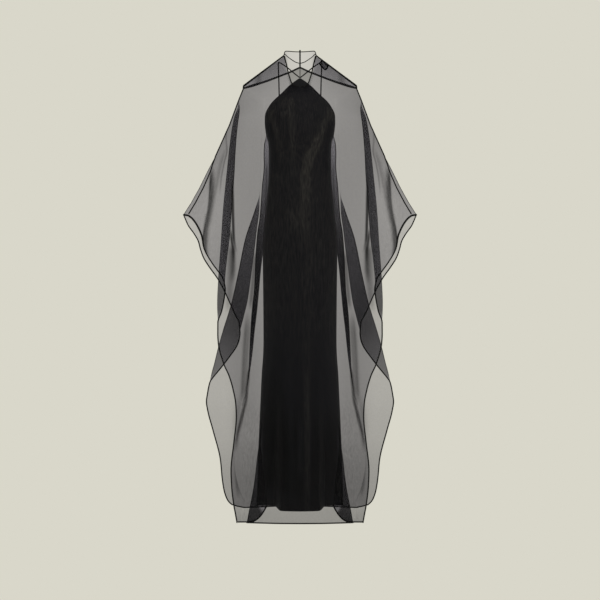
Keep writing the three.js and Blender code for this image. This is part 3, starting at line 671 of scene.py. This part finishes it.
def thick_cloth(name, shade, roughness, thread_height):
    """Cloth rolled or folded so thick that nothing shows through, with its threads in low relief."""
    material = bpy.data.materials.new(name)
    material.use_nodes = True
    tree = material.node_tree
    shader = tree.nodes["Principled BSDF"]
    shader.inputs["Base Color"].default_value = (shade, shade, shade, 1)
    shader.inputs["Roughness"].default_value = roughness
    shader.inputs["Specular IOR Level"].default_value = 0.1
    threads_here = tree.nodes.new("ShaderNodeGroup")
    threads_here.node_tree = weave
    bump = tree.nodes.new("ShaderNodeBump")
    bump.inputs["Distance"].default_value = thread_height
    tree.links.new(threads_here.outputs["Threads"], bump.inputs["Height"])
    tree.links.new(bump.outputs[0], shader.inputs["Normal"])
    return material


rolled = thick_cloth("rolled_edge", 0.008, 0.8, 0.3 * mm)


def spaced(path, least):
    """The path without points nearer than the least spacing."""
    kept = [path[0]]
    for point in path[1:]:
        if (Vector(point) - Vector(kept[-1])).length >= least:
            kept.append(point)
    return kept


def widths_along(table, path):
    """A roll's or tape's half-width at each point of its path, from a table by drop."""
    return [along(table, -z / mm) * mm for x, y, z in path]


def rolled_edge(name, rows, sections, radius):
    """The roll along a panel's whole free border: up one side, along the hem and up the other."""
    side = [section[-1][:3] for row, section in zip(rows, sections) if row >= cuff_drop]
    half = side + [point[:3] for point in reversed(sections[-1])]
    path = spaced(half + [(-x, y, z) for x, y, z in reversed(half)], least_point_gap)
    return tape(name, path, widths_along(radius, path), sides=8)


front_roll = rolled_edge("organza_front_rolled_edge", front_rows, front_sections, front_roll_radius)
back_roll = rolled_edge("organza_back_rolled_edge", back_rows, back_sections, back_roll_radius)
seam_pieces = []
for side, word in ((-1, "left"), (1, "right")):
    seam_path, crest_path = [], []
    for i in range(seam_steps + 1):
        drop = blend(shoulder_point[1] + seam_end_gap, cuff_drop - seam_end_gap, i / seam_steps)
        x = seam_half_width(drop)
        on_front = x - along(seam_rolled_forward, drop)
        y = -depth_line(front_panel, drop)(on_front) - seam_stand_off if on_front < x else 0
        seam_path.append((side * on_front * mm, y * mm, -drop * mm))
        crest_path.append((side * x * mm, 0, -drop * mm))
    seam_pieces.append(tape(f"sleeve_top_seam_{word}", seam_path, seam_radius, sides=8))
    seam_pieces.append(tape(f"sleeve_top_crest_{word}", crest_path, crest_radius, sides=6))
for piece in [front_roll, back_roll] + seam_pieces:
    dress(piece, rolled)

# ---------------------------------------------------------------- back yoke
# A doubled triangle of organza on each side, let in between the shoulder seam and the wide bound
# edge behind the neck. It is thinner beside the neck, where the strap of the slip crosses it, and
# has a thicker spot near the shoulder point, where the seam allowances meet.
yoke_rows, yoke_columns = 16, 60
yoke_ply_gap = 0.4
yoke_low_corner = 42
yoke_start, yoke_stop = 0.01, 0.985
yoke_thin, yoke_full, yoke_end = 0.54, 0.68, 0.45
yoke_thins_out = (145, 168)
strap_line = [[40, 47], [74, 19]]
allowance_at, allowance_reach, allowance_extra = 138, 9, 0.35


def inverted_v_drop(x):
    return along([[half, drop] for drop, half in inverted_v], x)


def back_y(x, drop):
    return depth_line(back_panel, drop)(x)


for side, word in ((-1, "left"), (1, "right")):
    plies = []
    for stand in (-yoke_ply_gap, yoke_ply_gap):
        sections = []
        for r in range(yoke_rows + 1):
            section = []
            for c in range(yoke_columns + 1):
                s = blend(yoke_start, yoke_stop, c / yoke_columns)
                seam_x, seam_drop = (blend(seam[0][k], shoulder_point[k], s) for k in (0, 1))
                low_x = blend(yoke_low_corner, shoulder_point[0], s)
                x = blend(seam_x, low_x, r / yoke_rows)
                drop = blend(seam_drop, inverted_v_drop(low_x), r / yoke_rows)
                beyond = drop - along(strap_line, x) if x < strap_line[1][0] else math.inf
                plies_here = yoke_full if beyond > 0 else yoke_thin
                plies_here = blend(plies_here, yoke_end, ease_step(*yoke_thins_out, x))
                plies_here += allowance_extra * math.exp(-(((x - allowance_at) / allowance_reach) ** 2))
                section.append((side * x * mm, (back_y(x, drop) + stand) * mm, -drop * mm, plies_here))
            sections.append(section)
        plies.append(sections)
    closed = [outer + inner[::-1] + outer[:1] for outer, inner in zip(*plies)]
    yoke = cloth_mesh(f"doubled_yoke_{word}", closed, both_sides=False)
    dress(yoke, organza, f"yoke_{word}")

# ---------------------------------------------------------------- bindings
# Folded black bindings over each shoulder seam and down each side of the open neck. The wide one
# along the back edge behind the neck is organza folded over several times, so a little light gets
# through. A fine seam runs down the centre back below it.
binding = thick_cloth("binding", 0.004, 0.75, 0.2 * mm)
binding_half_thickness = 1.3 * mm
shoulder_bind_out, shoulder_bind_up = 1.56, 2.08
shoulder_bind_end = [[188.2, 103.2], [189.2, 106.5], [189.6, 110.5]]
shoulder_bind_width = [[0, 2.3], [60, 2.9], [100, 3.4], [106, 1.8]]
neck_bind_width = [[0, 2.8], [30, 2.2], [80, 2.0]]
# The wide one follows the inverted V, then runs straight, from one [half-width, drop] to the other.
back_bind_straight, back_bind_end = [134, 86], [187, 107]
back_bind_low = [[45, 0], [130, 2.4], [187, 1.2]]
back_bind_width = [[0, 3.0], [120, 3.6], [160, 4.4], [187, 3.0]]
back_bind_stand_off, back_bind_half_thickness = 1.2, 0.9 * mm
back_bind_plies = 3.4
centre_seam_top, centre_seam_end, centre_seam_step = 31, 260, 6
centre_seam_stand_off, centre_seam_radius = 0.8, 1.2 * mm
bind_steps, neck_bind_steps, back_bind_steps = 40, 49, 60
for side, word in ((-1, "left"), (1, "right")):
    path = []
    for i in range(bind_steps + 1):
        x, drop = (blend(seam[0][k], shoulder_point[k], i / bind_steps) for k in (0, 1))
        path.append((side * (x + shoulder_bind_out) * mm, 0, (shoulder_bind_up - drop) * mm))
    path += [(side * x * mm, 0, -drop * mm) for x, drop in shoulder_bind_end]
    shoulder_bind = tape(f"shoulder_bind_{word}", path, widths_along(shoulder_bind_width, path),
                         binding_half_thickness)
    dress(shoulder_bind, binding, f"shoulder_binding_{word}")
    path = []
    for i in range(neck_bind_steps + 1):
        drop = blend(1, neck_v_drop - 1, i / neck_bind_steps)
        x = along(neck_v, drop)
        path.append((side * x * mm, -depth_line(front_panel, drop)(x) * mm, -drop * mm))
    neck_bind = tape(f"neck_bind_{word}", path, widths_along(neck_bind_width, path), binding_half_thickness)
    dress(neck_bind, binding, f"neck_binding_{word}")
    path, widths = [], []
    for i in range(back_bind_steps + 1):
        x = blend(0, back_bind_end[0], i / back_bind_steps)
        on_curve = x < back_bind_straight[0]
        drop = inverted_v_drop(x) if on_curve else along([back_bind_straight, back_bind_end], x)
        drop += along(back_bind_low, x)
        path.append((side * x * mm, (back_y(x, drop) + back_bind_stand_off) * mm, -drop * mm))
        widths.append(along(back_bind_width, x) * mm)
    back_edge = tape(f"back_edge_bind_{word}", path, widths, back_bind_half_thickness)
    keep_values(back_edge, "gather", [back_bind_plies] * len(back_edge.data.vertices))
    dress(back_edge, organza, f"back_edge_binding_{word}")
path = [(0, (back_y(0, drop) + centre_seam_stand_off) * mm, -drop * mm)
        for drop in range(centre_seam_top, centre_seam_end, centre_seam_step)]
dress(tape("centre_back_seam", path, centre_seam_radius, sides=8), binding)

# ---------------------------------------------------------------- neck mesh, cords, tab and button
# A very fine pale net stands round the back of the neck, edged by a thin cord above and crossed by
# a second cord that sags to the middle. A narrow tab joins them to the bound edge behind, with a
# small round button above and a bead where the cords meet.
neck_rows = [
    # half-width, depth, top, sagging cord, lower half-width, lower depth, lower edge
    [0, 78, 26.4, -12.7, 0, 79, -26],
    [14, 75, 26.2, -9, 14, 72.5, -31.5],
    [28, 66, 25.4, -2, 28, 65, -39],
    [42, 48, 23.2, 5.5, 40, 56, -44],
    [48, 33, 20.2, 9, 44.6, 38, -29],
    [51.5, 16, 12.5, 8, 48.4, 19, -13],
    [52.4, 3, 3, 3, 51, 4, -3],
]
neck_steps = 40


def neck_value(column, share):
    """One of the neck's measures at a share of the way from the centre back to the shoulder."""
    return along([[i / (len(neck_rows) - 1), row[column]] for i, row in enumerate(neck_rows)], share)


def neck_path(height_column, outwards):
    """Round the back of the neck at the height that a column gives, set a little off the net."""
    half = []
    for i in range(neck_steps + 1):
        x, y = neck_value(0, i / neck_steps), neck_value(1, i / neck_steps)
        grow = 1 + outwards / math.hypot(x, y)
        half.append((x * grow * mm, y * grow * mm, neck_value(height_column, i / neck_steps) * mm))
    return [(-x, y, z) for x, y, z in reversed(half[1:])] + half


net_rows = 14
net_plies, net_plies_below_cord = 0.15, 0.24
net_sections = []
for i in range(neck_steps + 1):
    share = i / neck_steps
    top = Vector([neck_value(c, share) for c in (0, 1, 2)])
    low = Vector([neck_value(c, share) for c in (4, 5, 6)])
    section = []
    for r in range(net_rows + 1):
        point = top.lerp(low, r / net_rows) * mm
        below_cord = point.z < neck_value(3, share) * mm
        section.append((*point, net_plies_below_cord if below_cord else net_plies))
    net_sections.append(section)
net = cloth_mesh("pale_neck_net", net_sections)
dress(net, organza, "neck_mesh")
top_cord_radius, top_cord_outwards = 1.5 * mm, 0.3
sagging_cord_radius, sagging_cord_outwards = 1.4 * mm, 1.2
top_cord = tape("neck_cord_top", neck_path(2, top_cord_outwards), top_cord_radius)
dress(top_cord, binding, "neck_top_cord")
sagging_cord = tape("neck_cord_sagging", neck_path(3, sagging_cord_outwards), sagging_cord_radius)
dress(sagging_cord, binding, "neck_sagging_cord")
tab_y, tab_top, tab_end = 81, 29, -27
tab_half_width, tab_half_thickness = 2.5 * mm, 0.7 * mm
tab_steps = 20
path = [(0, tab_y * mm, blend(tab_top, tab_end, i / tab_steps) * mm) for i in range(tab_steps + 1)]
dress(tape("neck_tab", path, tab_half_width, tab_half_thickness), binding, "centre_back_tab")
button_groove_depth, button_groove_reach = 0.12, 0.18


def round_knob(name, radius, y, z, node):
    """A round ball button with a shank groove round its middle."""
    rings, sides = 14, 24
    path = []
    for r in range(rings + 1):
        turn = math.pi * r / rings
        in_groove = math.exp(-(((turn - math.pi / 2) / button_groove_reach) ** 2))
        groove = 1 - button_groove_depth * in_groove
        path.append((radius * math.sin(turn) * groove, radius * math.cos(turn)))
    vertices, faces = [], []
    for across, up in path:
        for k in range(sides):
            turn = 2 * math.pi * k / sides
            vertices.append((across * math.cos(turn), y * mm + across * math.sin(turn), z * mm + up))
    for r in range(rings):
        for k in range(sides):
            a, b = r * sides + k, r * sides + (k + 1) % sides
            faces.append((a, a + sides, b + sides, b))
    dress(new_piece(name, vertices, faces), glossy, node)


glossy = bpy.data.materials.new("button")
glossy.use_nodes = True
tree = glossy.node_tree
shader = tree.nodes["Principled BSDF"]
shader.inputs["Roughness"].default_value = 0.3
speckle = tree.nodes.new("ShaderNodeTexNoise")
speckle.inputs["Scale"].default_value = 900
shade = tree.nodes.new("ShaderNodeValToRGB")
shade.color_ramp.elements[0].color = (0.006, 0.006, 0.006, 1)
shade.color_ramp.elements[1].color = (0.016, 0.015, 0.014, 1)
tree.links.new(speckle.outputs[0], shade.inputs[0])
tree.links.new(shade.outputs[0], shader.inputs["Base Color"])
round_knob("button_above_tab", radius=3.3 * mm, y=84.5, z=31, node="neck_button")
round_knob("bead_on_cords", radius=2.4 * mm, y=83, z=-12.7, node="neck_bead")

# ---------------------------------------------------------------- blank label
# A small blank label inside the yoke at the wearer's left shoulder: a loop of black tape, sewn down
# flat round a single layer of the sheer cloth.
label_half, label_drop = 79.5, 31
label_length, label_width = 29, 13
label_stand_off = 3.5
label_tilt = math.radians(45)
label_plies = 1.5
label_steps = 48
label_rows, label_columns = 8, 10
corner_sharpness = 0.5
loop_half_width, loop_half_thickness = 2.5 * mm, 0.6 * mm


def on_label(u, v):
    """A place on the label, u along it and v across it, each from -1 to 1."""
    length, width = u * label_length / 2, v * label_width / 2
    x = label_half + length * math.cos(label_tilt) - width * math.sin(label_tilt)
    drop = label_drop + length * math.sin(label_tilt) + width * math.cos(label_tilt)
    return (x * mm, (back_y(x, drop) - label_stand_off) * mm, -drop * mm)


path = []
for i in range(label_steps + 1):
    turn = 2 * math.pi * i / label_steps
    u, v = math.cos(turn), math.sin(turn)
    path.append(on_label(math.copysign(abs(u) ** corner_sharpness, u),
                         math.copysign(abs(v) ** corner_sharpness, v)))
dress(tape("label_loop", path, loop_half_width, loop_half_thickness), binding, "blank_label")
label_sections = []
for r in range(label_rows + 1):
    places = [on_label(blend(-1, 1, c / label_columns), blend(-1, 1, r / label_rows))
              for c in range(label_columns + 1)]
    label_sections.append([(*place, label_plies) for place in places])
label_ground = cloth_mesh("label_ground", label_sections, both_sides=False)
dress(label_ground, organza)

# ---------------------------------------------------------------- slip
# A long halter slip in black satin-faced cloth, cut in a front and a back with side seams. It
# hangs from two thin straps and flares into soft flutes near its hem.
slip_rows = [
    # drop, half-width, front wrap in degrees, front depth, back depth, share of flute
    [88, 3, 2, 72, 80, 0],
    [103, 25, 17, 75, 80, 0],
    [116, 41, 29, 79, 80, 0],
    [130, 55.5, 40, 82, 80, 0],
    [144, 71.5, 48, 86, 81, 0],
    [158, 88, 55, 90, 82, 0],
    [175, 102, 61, 94, 83, 0],
    [205, 116, 69, 101, 84, 0],
    [228, 117, 77, 104, 84, 0],
    [252, 115, 84, 105, 85, 0],
    [268, 112.5, 90, 104, 85, 0],
    [290, 105.5, 90, 100, 84, 0],
    [340, 101.7, 90, 86, 76, 0],
    [405, 103.6, 90, 78, 68, 0],
    [500, 112, 90, 88, 84, 0],
    [640, 123.5, 90, 98, 108, 0],
    [800, 122, 90, 98, 105, 0],
    [950, 121, 90, 98, 100, 0],
    [1002, 122.5, 90, 98, 100, 0],
    [1055, 126.5, 90, 99, 100, 0.03],
    [1150, 131, 90, 101, 101, 0.10],
    [1240, 135, 90, 103, 102, 0.26],
    [1320, 138.5, 90, 105, 103, 0.42],
    [1430, 142, 90, 107, 105, 0.75],
    [1501, 144, 90, 108, 106, 0.92],
]
slip_hem_drop = 1501
slip_half_gap = 0.15
side_seam_radius = 0.7 * mm
flute_from, flute_full = 26, 37
dip_inner, dip_outer, dip_from = 2.2, -1.6, 1420
dip_turn_from, dip_turn_to = 24, 38
slip_back_top = 290


def slip_size(column, drop):
    return along([[row[0], row[column]] for row in slip_rows], drop)


def slip_point(drop, share, is_front):
    """A place on the slip's front or back, at a share of the way from the centre to the side."""
    wrap = math.radians(slip_size(2, drop)) if is_front else math.pi / 2
    turn = wrap * share
    x = slip_size(1, drop) / math.sin(math.radians(slip_size(2, drop))) * math.sin(turn)
    degrees = math.degrees(turn)
    hollow = slip_size(5, drop) * ease_step(flute_from, flute_full, degrees)
    if is_front:
        y = -slip_size(3, drop) * math.cos(turn) * (1 - hollow) - slip_half_gap
        dip = blend(dip_inner, dip_outer, ease_step(dip_turn_from, dip_turn_to, degrees))
        dip *= ease_step(dip_from, slip_hem_drop, drop)
    else:
        y = slip_size(4, drop) * math.cos(turn) + slip_half_gap
        dip = 0
    return (x * mm, y * mm, -(drop + dip) * mm)


# Painted highlights and painted shade on the satin, where it catches more or less light: [drop, x] along
# each streak, its reach across and how much painted light it adds to or takes from the painted light set by
# drop.
# Painted light by drop: the satin's colour is painted brighter down to about 600 mm and darker towards the
# hem.
painted_light_by_drop = [[88, 1.4], [200, 1.6], [350, 1.65], [600, 1.7], [800, 1.55], [1000, 1.25], [1150, 0.8],
              [1280, 0.45], [1420, 0.5], [1500, 0.75]]
painted_light_streaks = [
    {"path": [[205, 100], [225, 86], [260, 72], [309, 50], [358, 27], [407, 18], [489, 18], [587, 21],
              [684, 26], [782, 26], [880, 28], [978, 24], [1076, 23], [1337, 24], [1500, 23]],
     "reach": [[205, 12], [260, 14], [309, 17], [407, 19], [880, 19], [978, 15], [1207, 11], [1500, 10]],
     "extra": [[205, 0.5], [240, 1.3], [309, 2.1], [407, 2.0], [489, 1.2], [684, 0.2], [880, 0.2],
               [1000, 0.4], [1100, 1.0], [1207, 1.6], [1400, 1.7], [1500, 1.1]]},
    {"path": [[150, -46], [230, -52]], "reach": [[150, 22], [230, 18]],
     "extra": [[150, 0.0], [165, 0.5], [205, 0.5], [230, 0.0]]},
    {"path": [[500, -12], [600, -10]], "reach": [[500, 30], [600, 30]],
     "extra": [[500, 0.0], [530, 0.6], [580, 0.5], [600, 0.0]]},
    {"path": [[1200, 2], [1400, 1]], "reach": [[1200, 9], [1400, 9]],
     "extra": [[1200, 0.0], [1240, 0.8], [1360, 0.7], [1400, 0.0]]},
    {"path": [[215, -92], [240, -84], [277, -74], [326, -66], [385, -62]], "reach": [[215, 9], [385, 9]],
     "extra": [[215, 0.5], [250, 1.1], [300, 0.5], [385, 0.0]]},
    {"path": [[175, -28], [244, -26], [309, -23], [385, -22]], "reach": [[175, 10], [385, 10]],
     "extra": [[175, 0.8], [260, 1.0], [385, 0.3]]},
    {"path": [[900, -80], [1100, -88], [1420, -80]], "reach": [[900, 24], [1100, 40], [1420, 44]],
     "extra": [[900, 0.0], [1060, -0.45], [1200, -0.35], [1400, -0.3], [1480, -0.1]]},
    {"path": [[1000, -34], [1270, -29], [1500, -24]], "reach": [[1000, 9], [1500, 10]],
     "extra": [[1000, 0.0], [1080, 0.15], [1500, 0.2]]},
    {"path": [[88, 0], [122, 0]], "reach": [[88, 34], [122, 40]],
     "extra": [[88, -0.9], [118, -0.9], [122, -0.6]]},
]
# The painted highlights and painted shade that lie alike on both sides of the slip.
paired_painted_light_streaks = [
    {"path": [[185, 98], [230, 104]], "reach": [[185, 16], [230, 10]],
     "extra": [[175, 0.2], [205, 0.6], [230, 0.0]]},
    {"path": [[225, 104], [400, 96]], "reach": [[225, 14], [400, 26]],
     "extra": [[225, 0.0], [245, -0.6], [370, -0.5], [410, 0.0]]},
    {"path": [[1240, 134], [1500, 144]], "reach": [[1240, 12], [1500, 16]],
     "extra": [[1240, 0.0], [1300, 0.7], [1480, 0.7], [1500, 0.3]]},
]
for streak in paired_painted_light_streaks:
    other_side = [[drop, -x] for drop, x in streak["path"]]
    painted_light_streaks += [streak, {**streak, "path": other_side}]
streak_end_margin = 20


# The satin's colour runs from painted shade through its own even black to an olive painted highlight,
# following the painted light kept on the slip.
least_painted_light, even_painted_light, least_grain = 0.1, 0.8, 0.12
satin_painted_shade = (0.001, 0.001, 0.001)
satin_even = (0.0200, 0.0202, 0.0235)
satin_painted_highlight = (0.120, 0.114, 0.094)


def painted_light(x, drop):
    """How much painted light the satin's colour carries at a place on the slip's front: painted highlight
    above the even level, painted shade below it.
    """
    total = along(painted_light_by_drop, drop)
    for streak in painted_light_streaks:
        start, end = streak["path"][0][0], streak["path"][-1][0]
        if start - streak_end_margin < drop < end + streak_end_margin:
            off = (x - along(streak["path"], drop)) / along(streak["reach"], drop)
            total += along(streak["extra"], drop) * math.exp(-off ** 4)
    return max(least_painted_light, total)


satin = bpy.data.materials.new("slip_satin")
satin.use_nodes = True
tree = satin.node_tree
shader = tree.nodes["Principled BSDF"]
shader.inputs["Roughness"].default_value = 0.5
shader.inputs["Specular IOR Level"].default_value = 0.03
place = tree.nodes.new("ShaderNodeTexCoord")
stretched = tree.nodes.new("ShaderNodeMapping")
stretched.inputs["Scale"].default_value = (230, 230, 34)
tree.links.new(place.outputs["Object"], stretched.inputs["Vector"])
grain = tree.nodes.new("ShaderNodeTexNoise")
grain.inputs["Scale"].default_value = 1
grain.inputs["Detail"].default_value = 5
tree.links.new(stretched.outputs[0], grain.inputs["Vector"])
kept = tree.nodes.new("ShaderNodeAttribute")
kept.attribute_name = "painted_light"
# The base colour is painted: the even level gives the satin's own black, higher values a grainy painted
# highlight and lower ones painted shade.
uneven = joined(tree, "ADD", joined(tree, "MULTIPLY", grain.outputs[0], 2.0), -0.5)
painted_highlight_share = joined(tree, "SUBTRACT", kept.outputs["Fac"], even_painted_light)
speckled = joined(tree, "MULTIPLY", joined(tree, "MAXIMUM", painted_highlight_share, least_grain), uneven)
painted_light_level = joined(tree, "ADD", joined(tree, "MINIMUM", kept.outputs["Fac"], even_painted_light), speckled)
shades = tree.nodes.new("ShaderNodeValToRGB")
shades.color_ramp.elements[0].position = 0.0
shades.color_ramp.elements[0].color = (*satin_painted_shade, 1)
shades.color_ramp.elements[1].position = 1.0
shades.color_ramp.elements[1].color = (*satin_painted_highlight, 1)
middle = shades.color_ramp.elements.new(0.25)
middle.color = (*satin_even, 1)
tree.links.new(joined(tree, "MULTIPLY", painted_light_level, 0.25), shades.inputs[0])
tree.links.new(shades.outputs[0], shader.inputs["Base Color"])

slip_step = 9
slip_columns = 120
slip_drops = list(range(88, slip_hem_drop, slip_step)) + [slip_hem_drop]
back_slip_drops = list(range(slip_back_top, slip_hem_drop, slip_step)) + [slip_hem_drop]


def slip_sections(drops, is_front):
    """The slip's front or back, level by level, with the painted light of each place; the back gets one
    even value.
    """
    sections = []
    for drop in drops:
        section = []
        for c in range(slip_columns + 1):
            share = 2 * c / slip_columns - 1
            x, y, z = slip_point(drop, abs(share), is_front)
            x = math.copysign(x, share)
            section.append((x, y, z, painted_light(x / mm, drop) if is_front else 1.0))
        sections.append(section)
    return sections


slip_front = cloth_mesh("satin_slip_front", slip_sections(slip_drops, True), False, "painted_light")
slip_back = cloth_mesh("satin_slip_back", slip_sections(back_slip_drops, False), False, "painted_light")
dress(slip_front, satin, "slip_front")
dress(slip_back, satin, "slip_back")
seam_rows = [slip_point(drop, 1, False) for drop in back_slip_drops]
for side, word in ((-1, "left"), (1, "right")):
    seam_path = [(side * x, 0, z) for x, y, z in seam_rows]
    side_seam = tape(f"slip_side_seam_{word}", seam_path, side_seam_radius, sides=8)
    dress(side_seam, binding)

# ---------------------------------------------------------------- straps of the slip
# Two thin rouleau straps rise from the point of the slip, cross the shoulders under the yoke and
# run down to the top of the slip's back.
strap_path = [(2.4, -71.5, -84.5), (24, -46, -63), (39.6, -28, -47), (48, -19, -39.5), (62, -8, -28.5),
              (71, -2, -23), (72.5, 2, -27), (72, 20, -46), (71, 55, -91), (70, 73, -160), (70, 70, -240),
              (70, 65.5, -288)]
front_strap_radius, back_strap_radius = 2.0 * mm, 2.1 * mm
strap_widens = (0.45, 0.6)
strap_steps = 90


def strap_place(share):
    """A place on a strap at a share of its way, on a smooth line through the path's points."""
    keys = [i / (len(strap_path) - 1) for i in range(len(strap_path))]
    return [along([[k, p[axis]] for k, p in zip(keys, strap_path)], share) for axis in range(3)]


for side, word in ((-1, "left"), (1, "right")):
    path, widths = [], []
    for i in range(strap_steps + 1):
        x, y, z = strap_place(i / strap_steps)
        path.append((side * x * mm, y * mm, z * mm))
        behind = ease_step(*strap_widens, i / strap_steps)
        widths.append(blend(front_strap_radius, back_strap_radius, behind))
    strap = tape(f"rouleau_strap_{word}", path, widths)
    dress(strap, binding, f"strap_{word}")

# ---------------------------------------------------------------- floor, light and camera
# A plain pale floor that runs on into the backdrop, even light all round and one soft lamp.
backdrop = (0.694, 0.679, 0.591)
floor_z = -1.58
floor_reach = 30
corners = [(x * floor_reach, y * floor_reach, floor_z) for x, y in ((-1, -1), (1, -1), (1, 1), (-1, 1))]
floor = new_piece("floor", corners, [(0, 1, 2, 3)], lambda face: False)
pale = bpy.data.materials.new("pale_floor")
pale.use_nodes = True
pale.node_tree.nodes.clear()
glow = pale.node_tree.nodes.new("ShaderNodeEmission")
glow.inputs["Color"].default_value = (*backdrop, 1)
out = pale.node_tree.nodes.new("ShaderNodeOutputMaterial")
pale.node_tree.links.new(glow.outputs[0], out.inputs["Surface"])
floor.data.materials.append(pale)

scene = bpy.context.scene
world = bpy.data.worlds.new("studio")
world.use_nodes = True
world.node_tree.nodes["Background"].inputs["Color"].default_value = (*backdrop, 1)
scene.world = world
lamp = bpy.data.lights.new("softbox", "AREA")
lamp.size = 2.5
lamp.energy = 35
softbox = bpy.data.objects.new("softbox", lamp)
softbox.location = (1.6, -3.4, 1.4)
lamp_aim = Vector((0, 0, -0.7))
softbox.rotation_euler = (lamp_aim - softbox.location).to_track_quat("-Z", "Y").to_euler()
bpy.context.collection.objects.link(softbox)
camera = bpy.data.objects.new("camera", bpy.data.cameras.new("camera"))
camera.data.lens = 81
camera.data.sensor_width = 36
camera.location = (0, -4.5, -0.815)
camera.rotation_euler = (math.pi / 2, 0, 0)
bpy.context.collection.objects.link(camera)
scene.camera = camera
scene.view_settings.view_transform = "Standard"
scene.cycles.transparent_max_bounces = 64
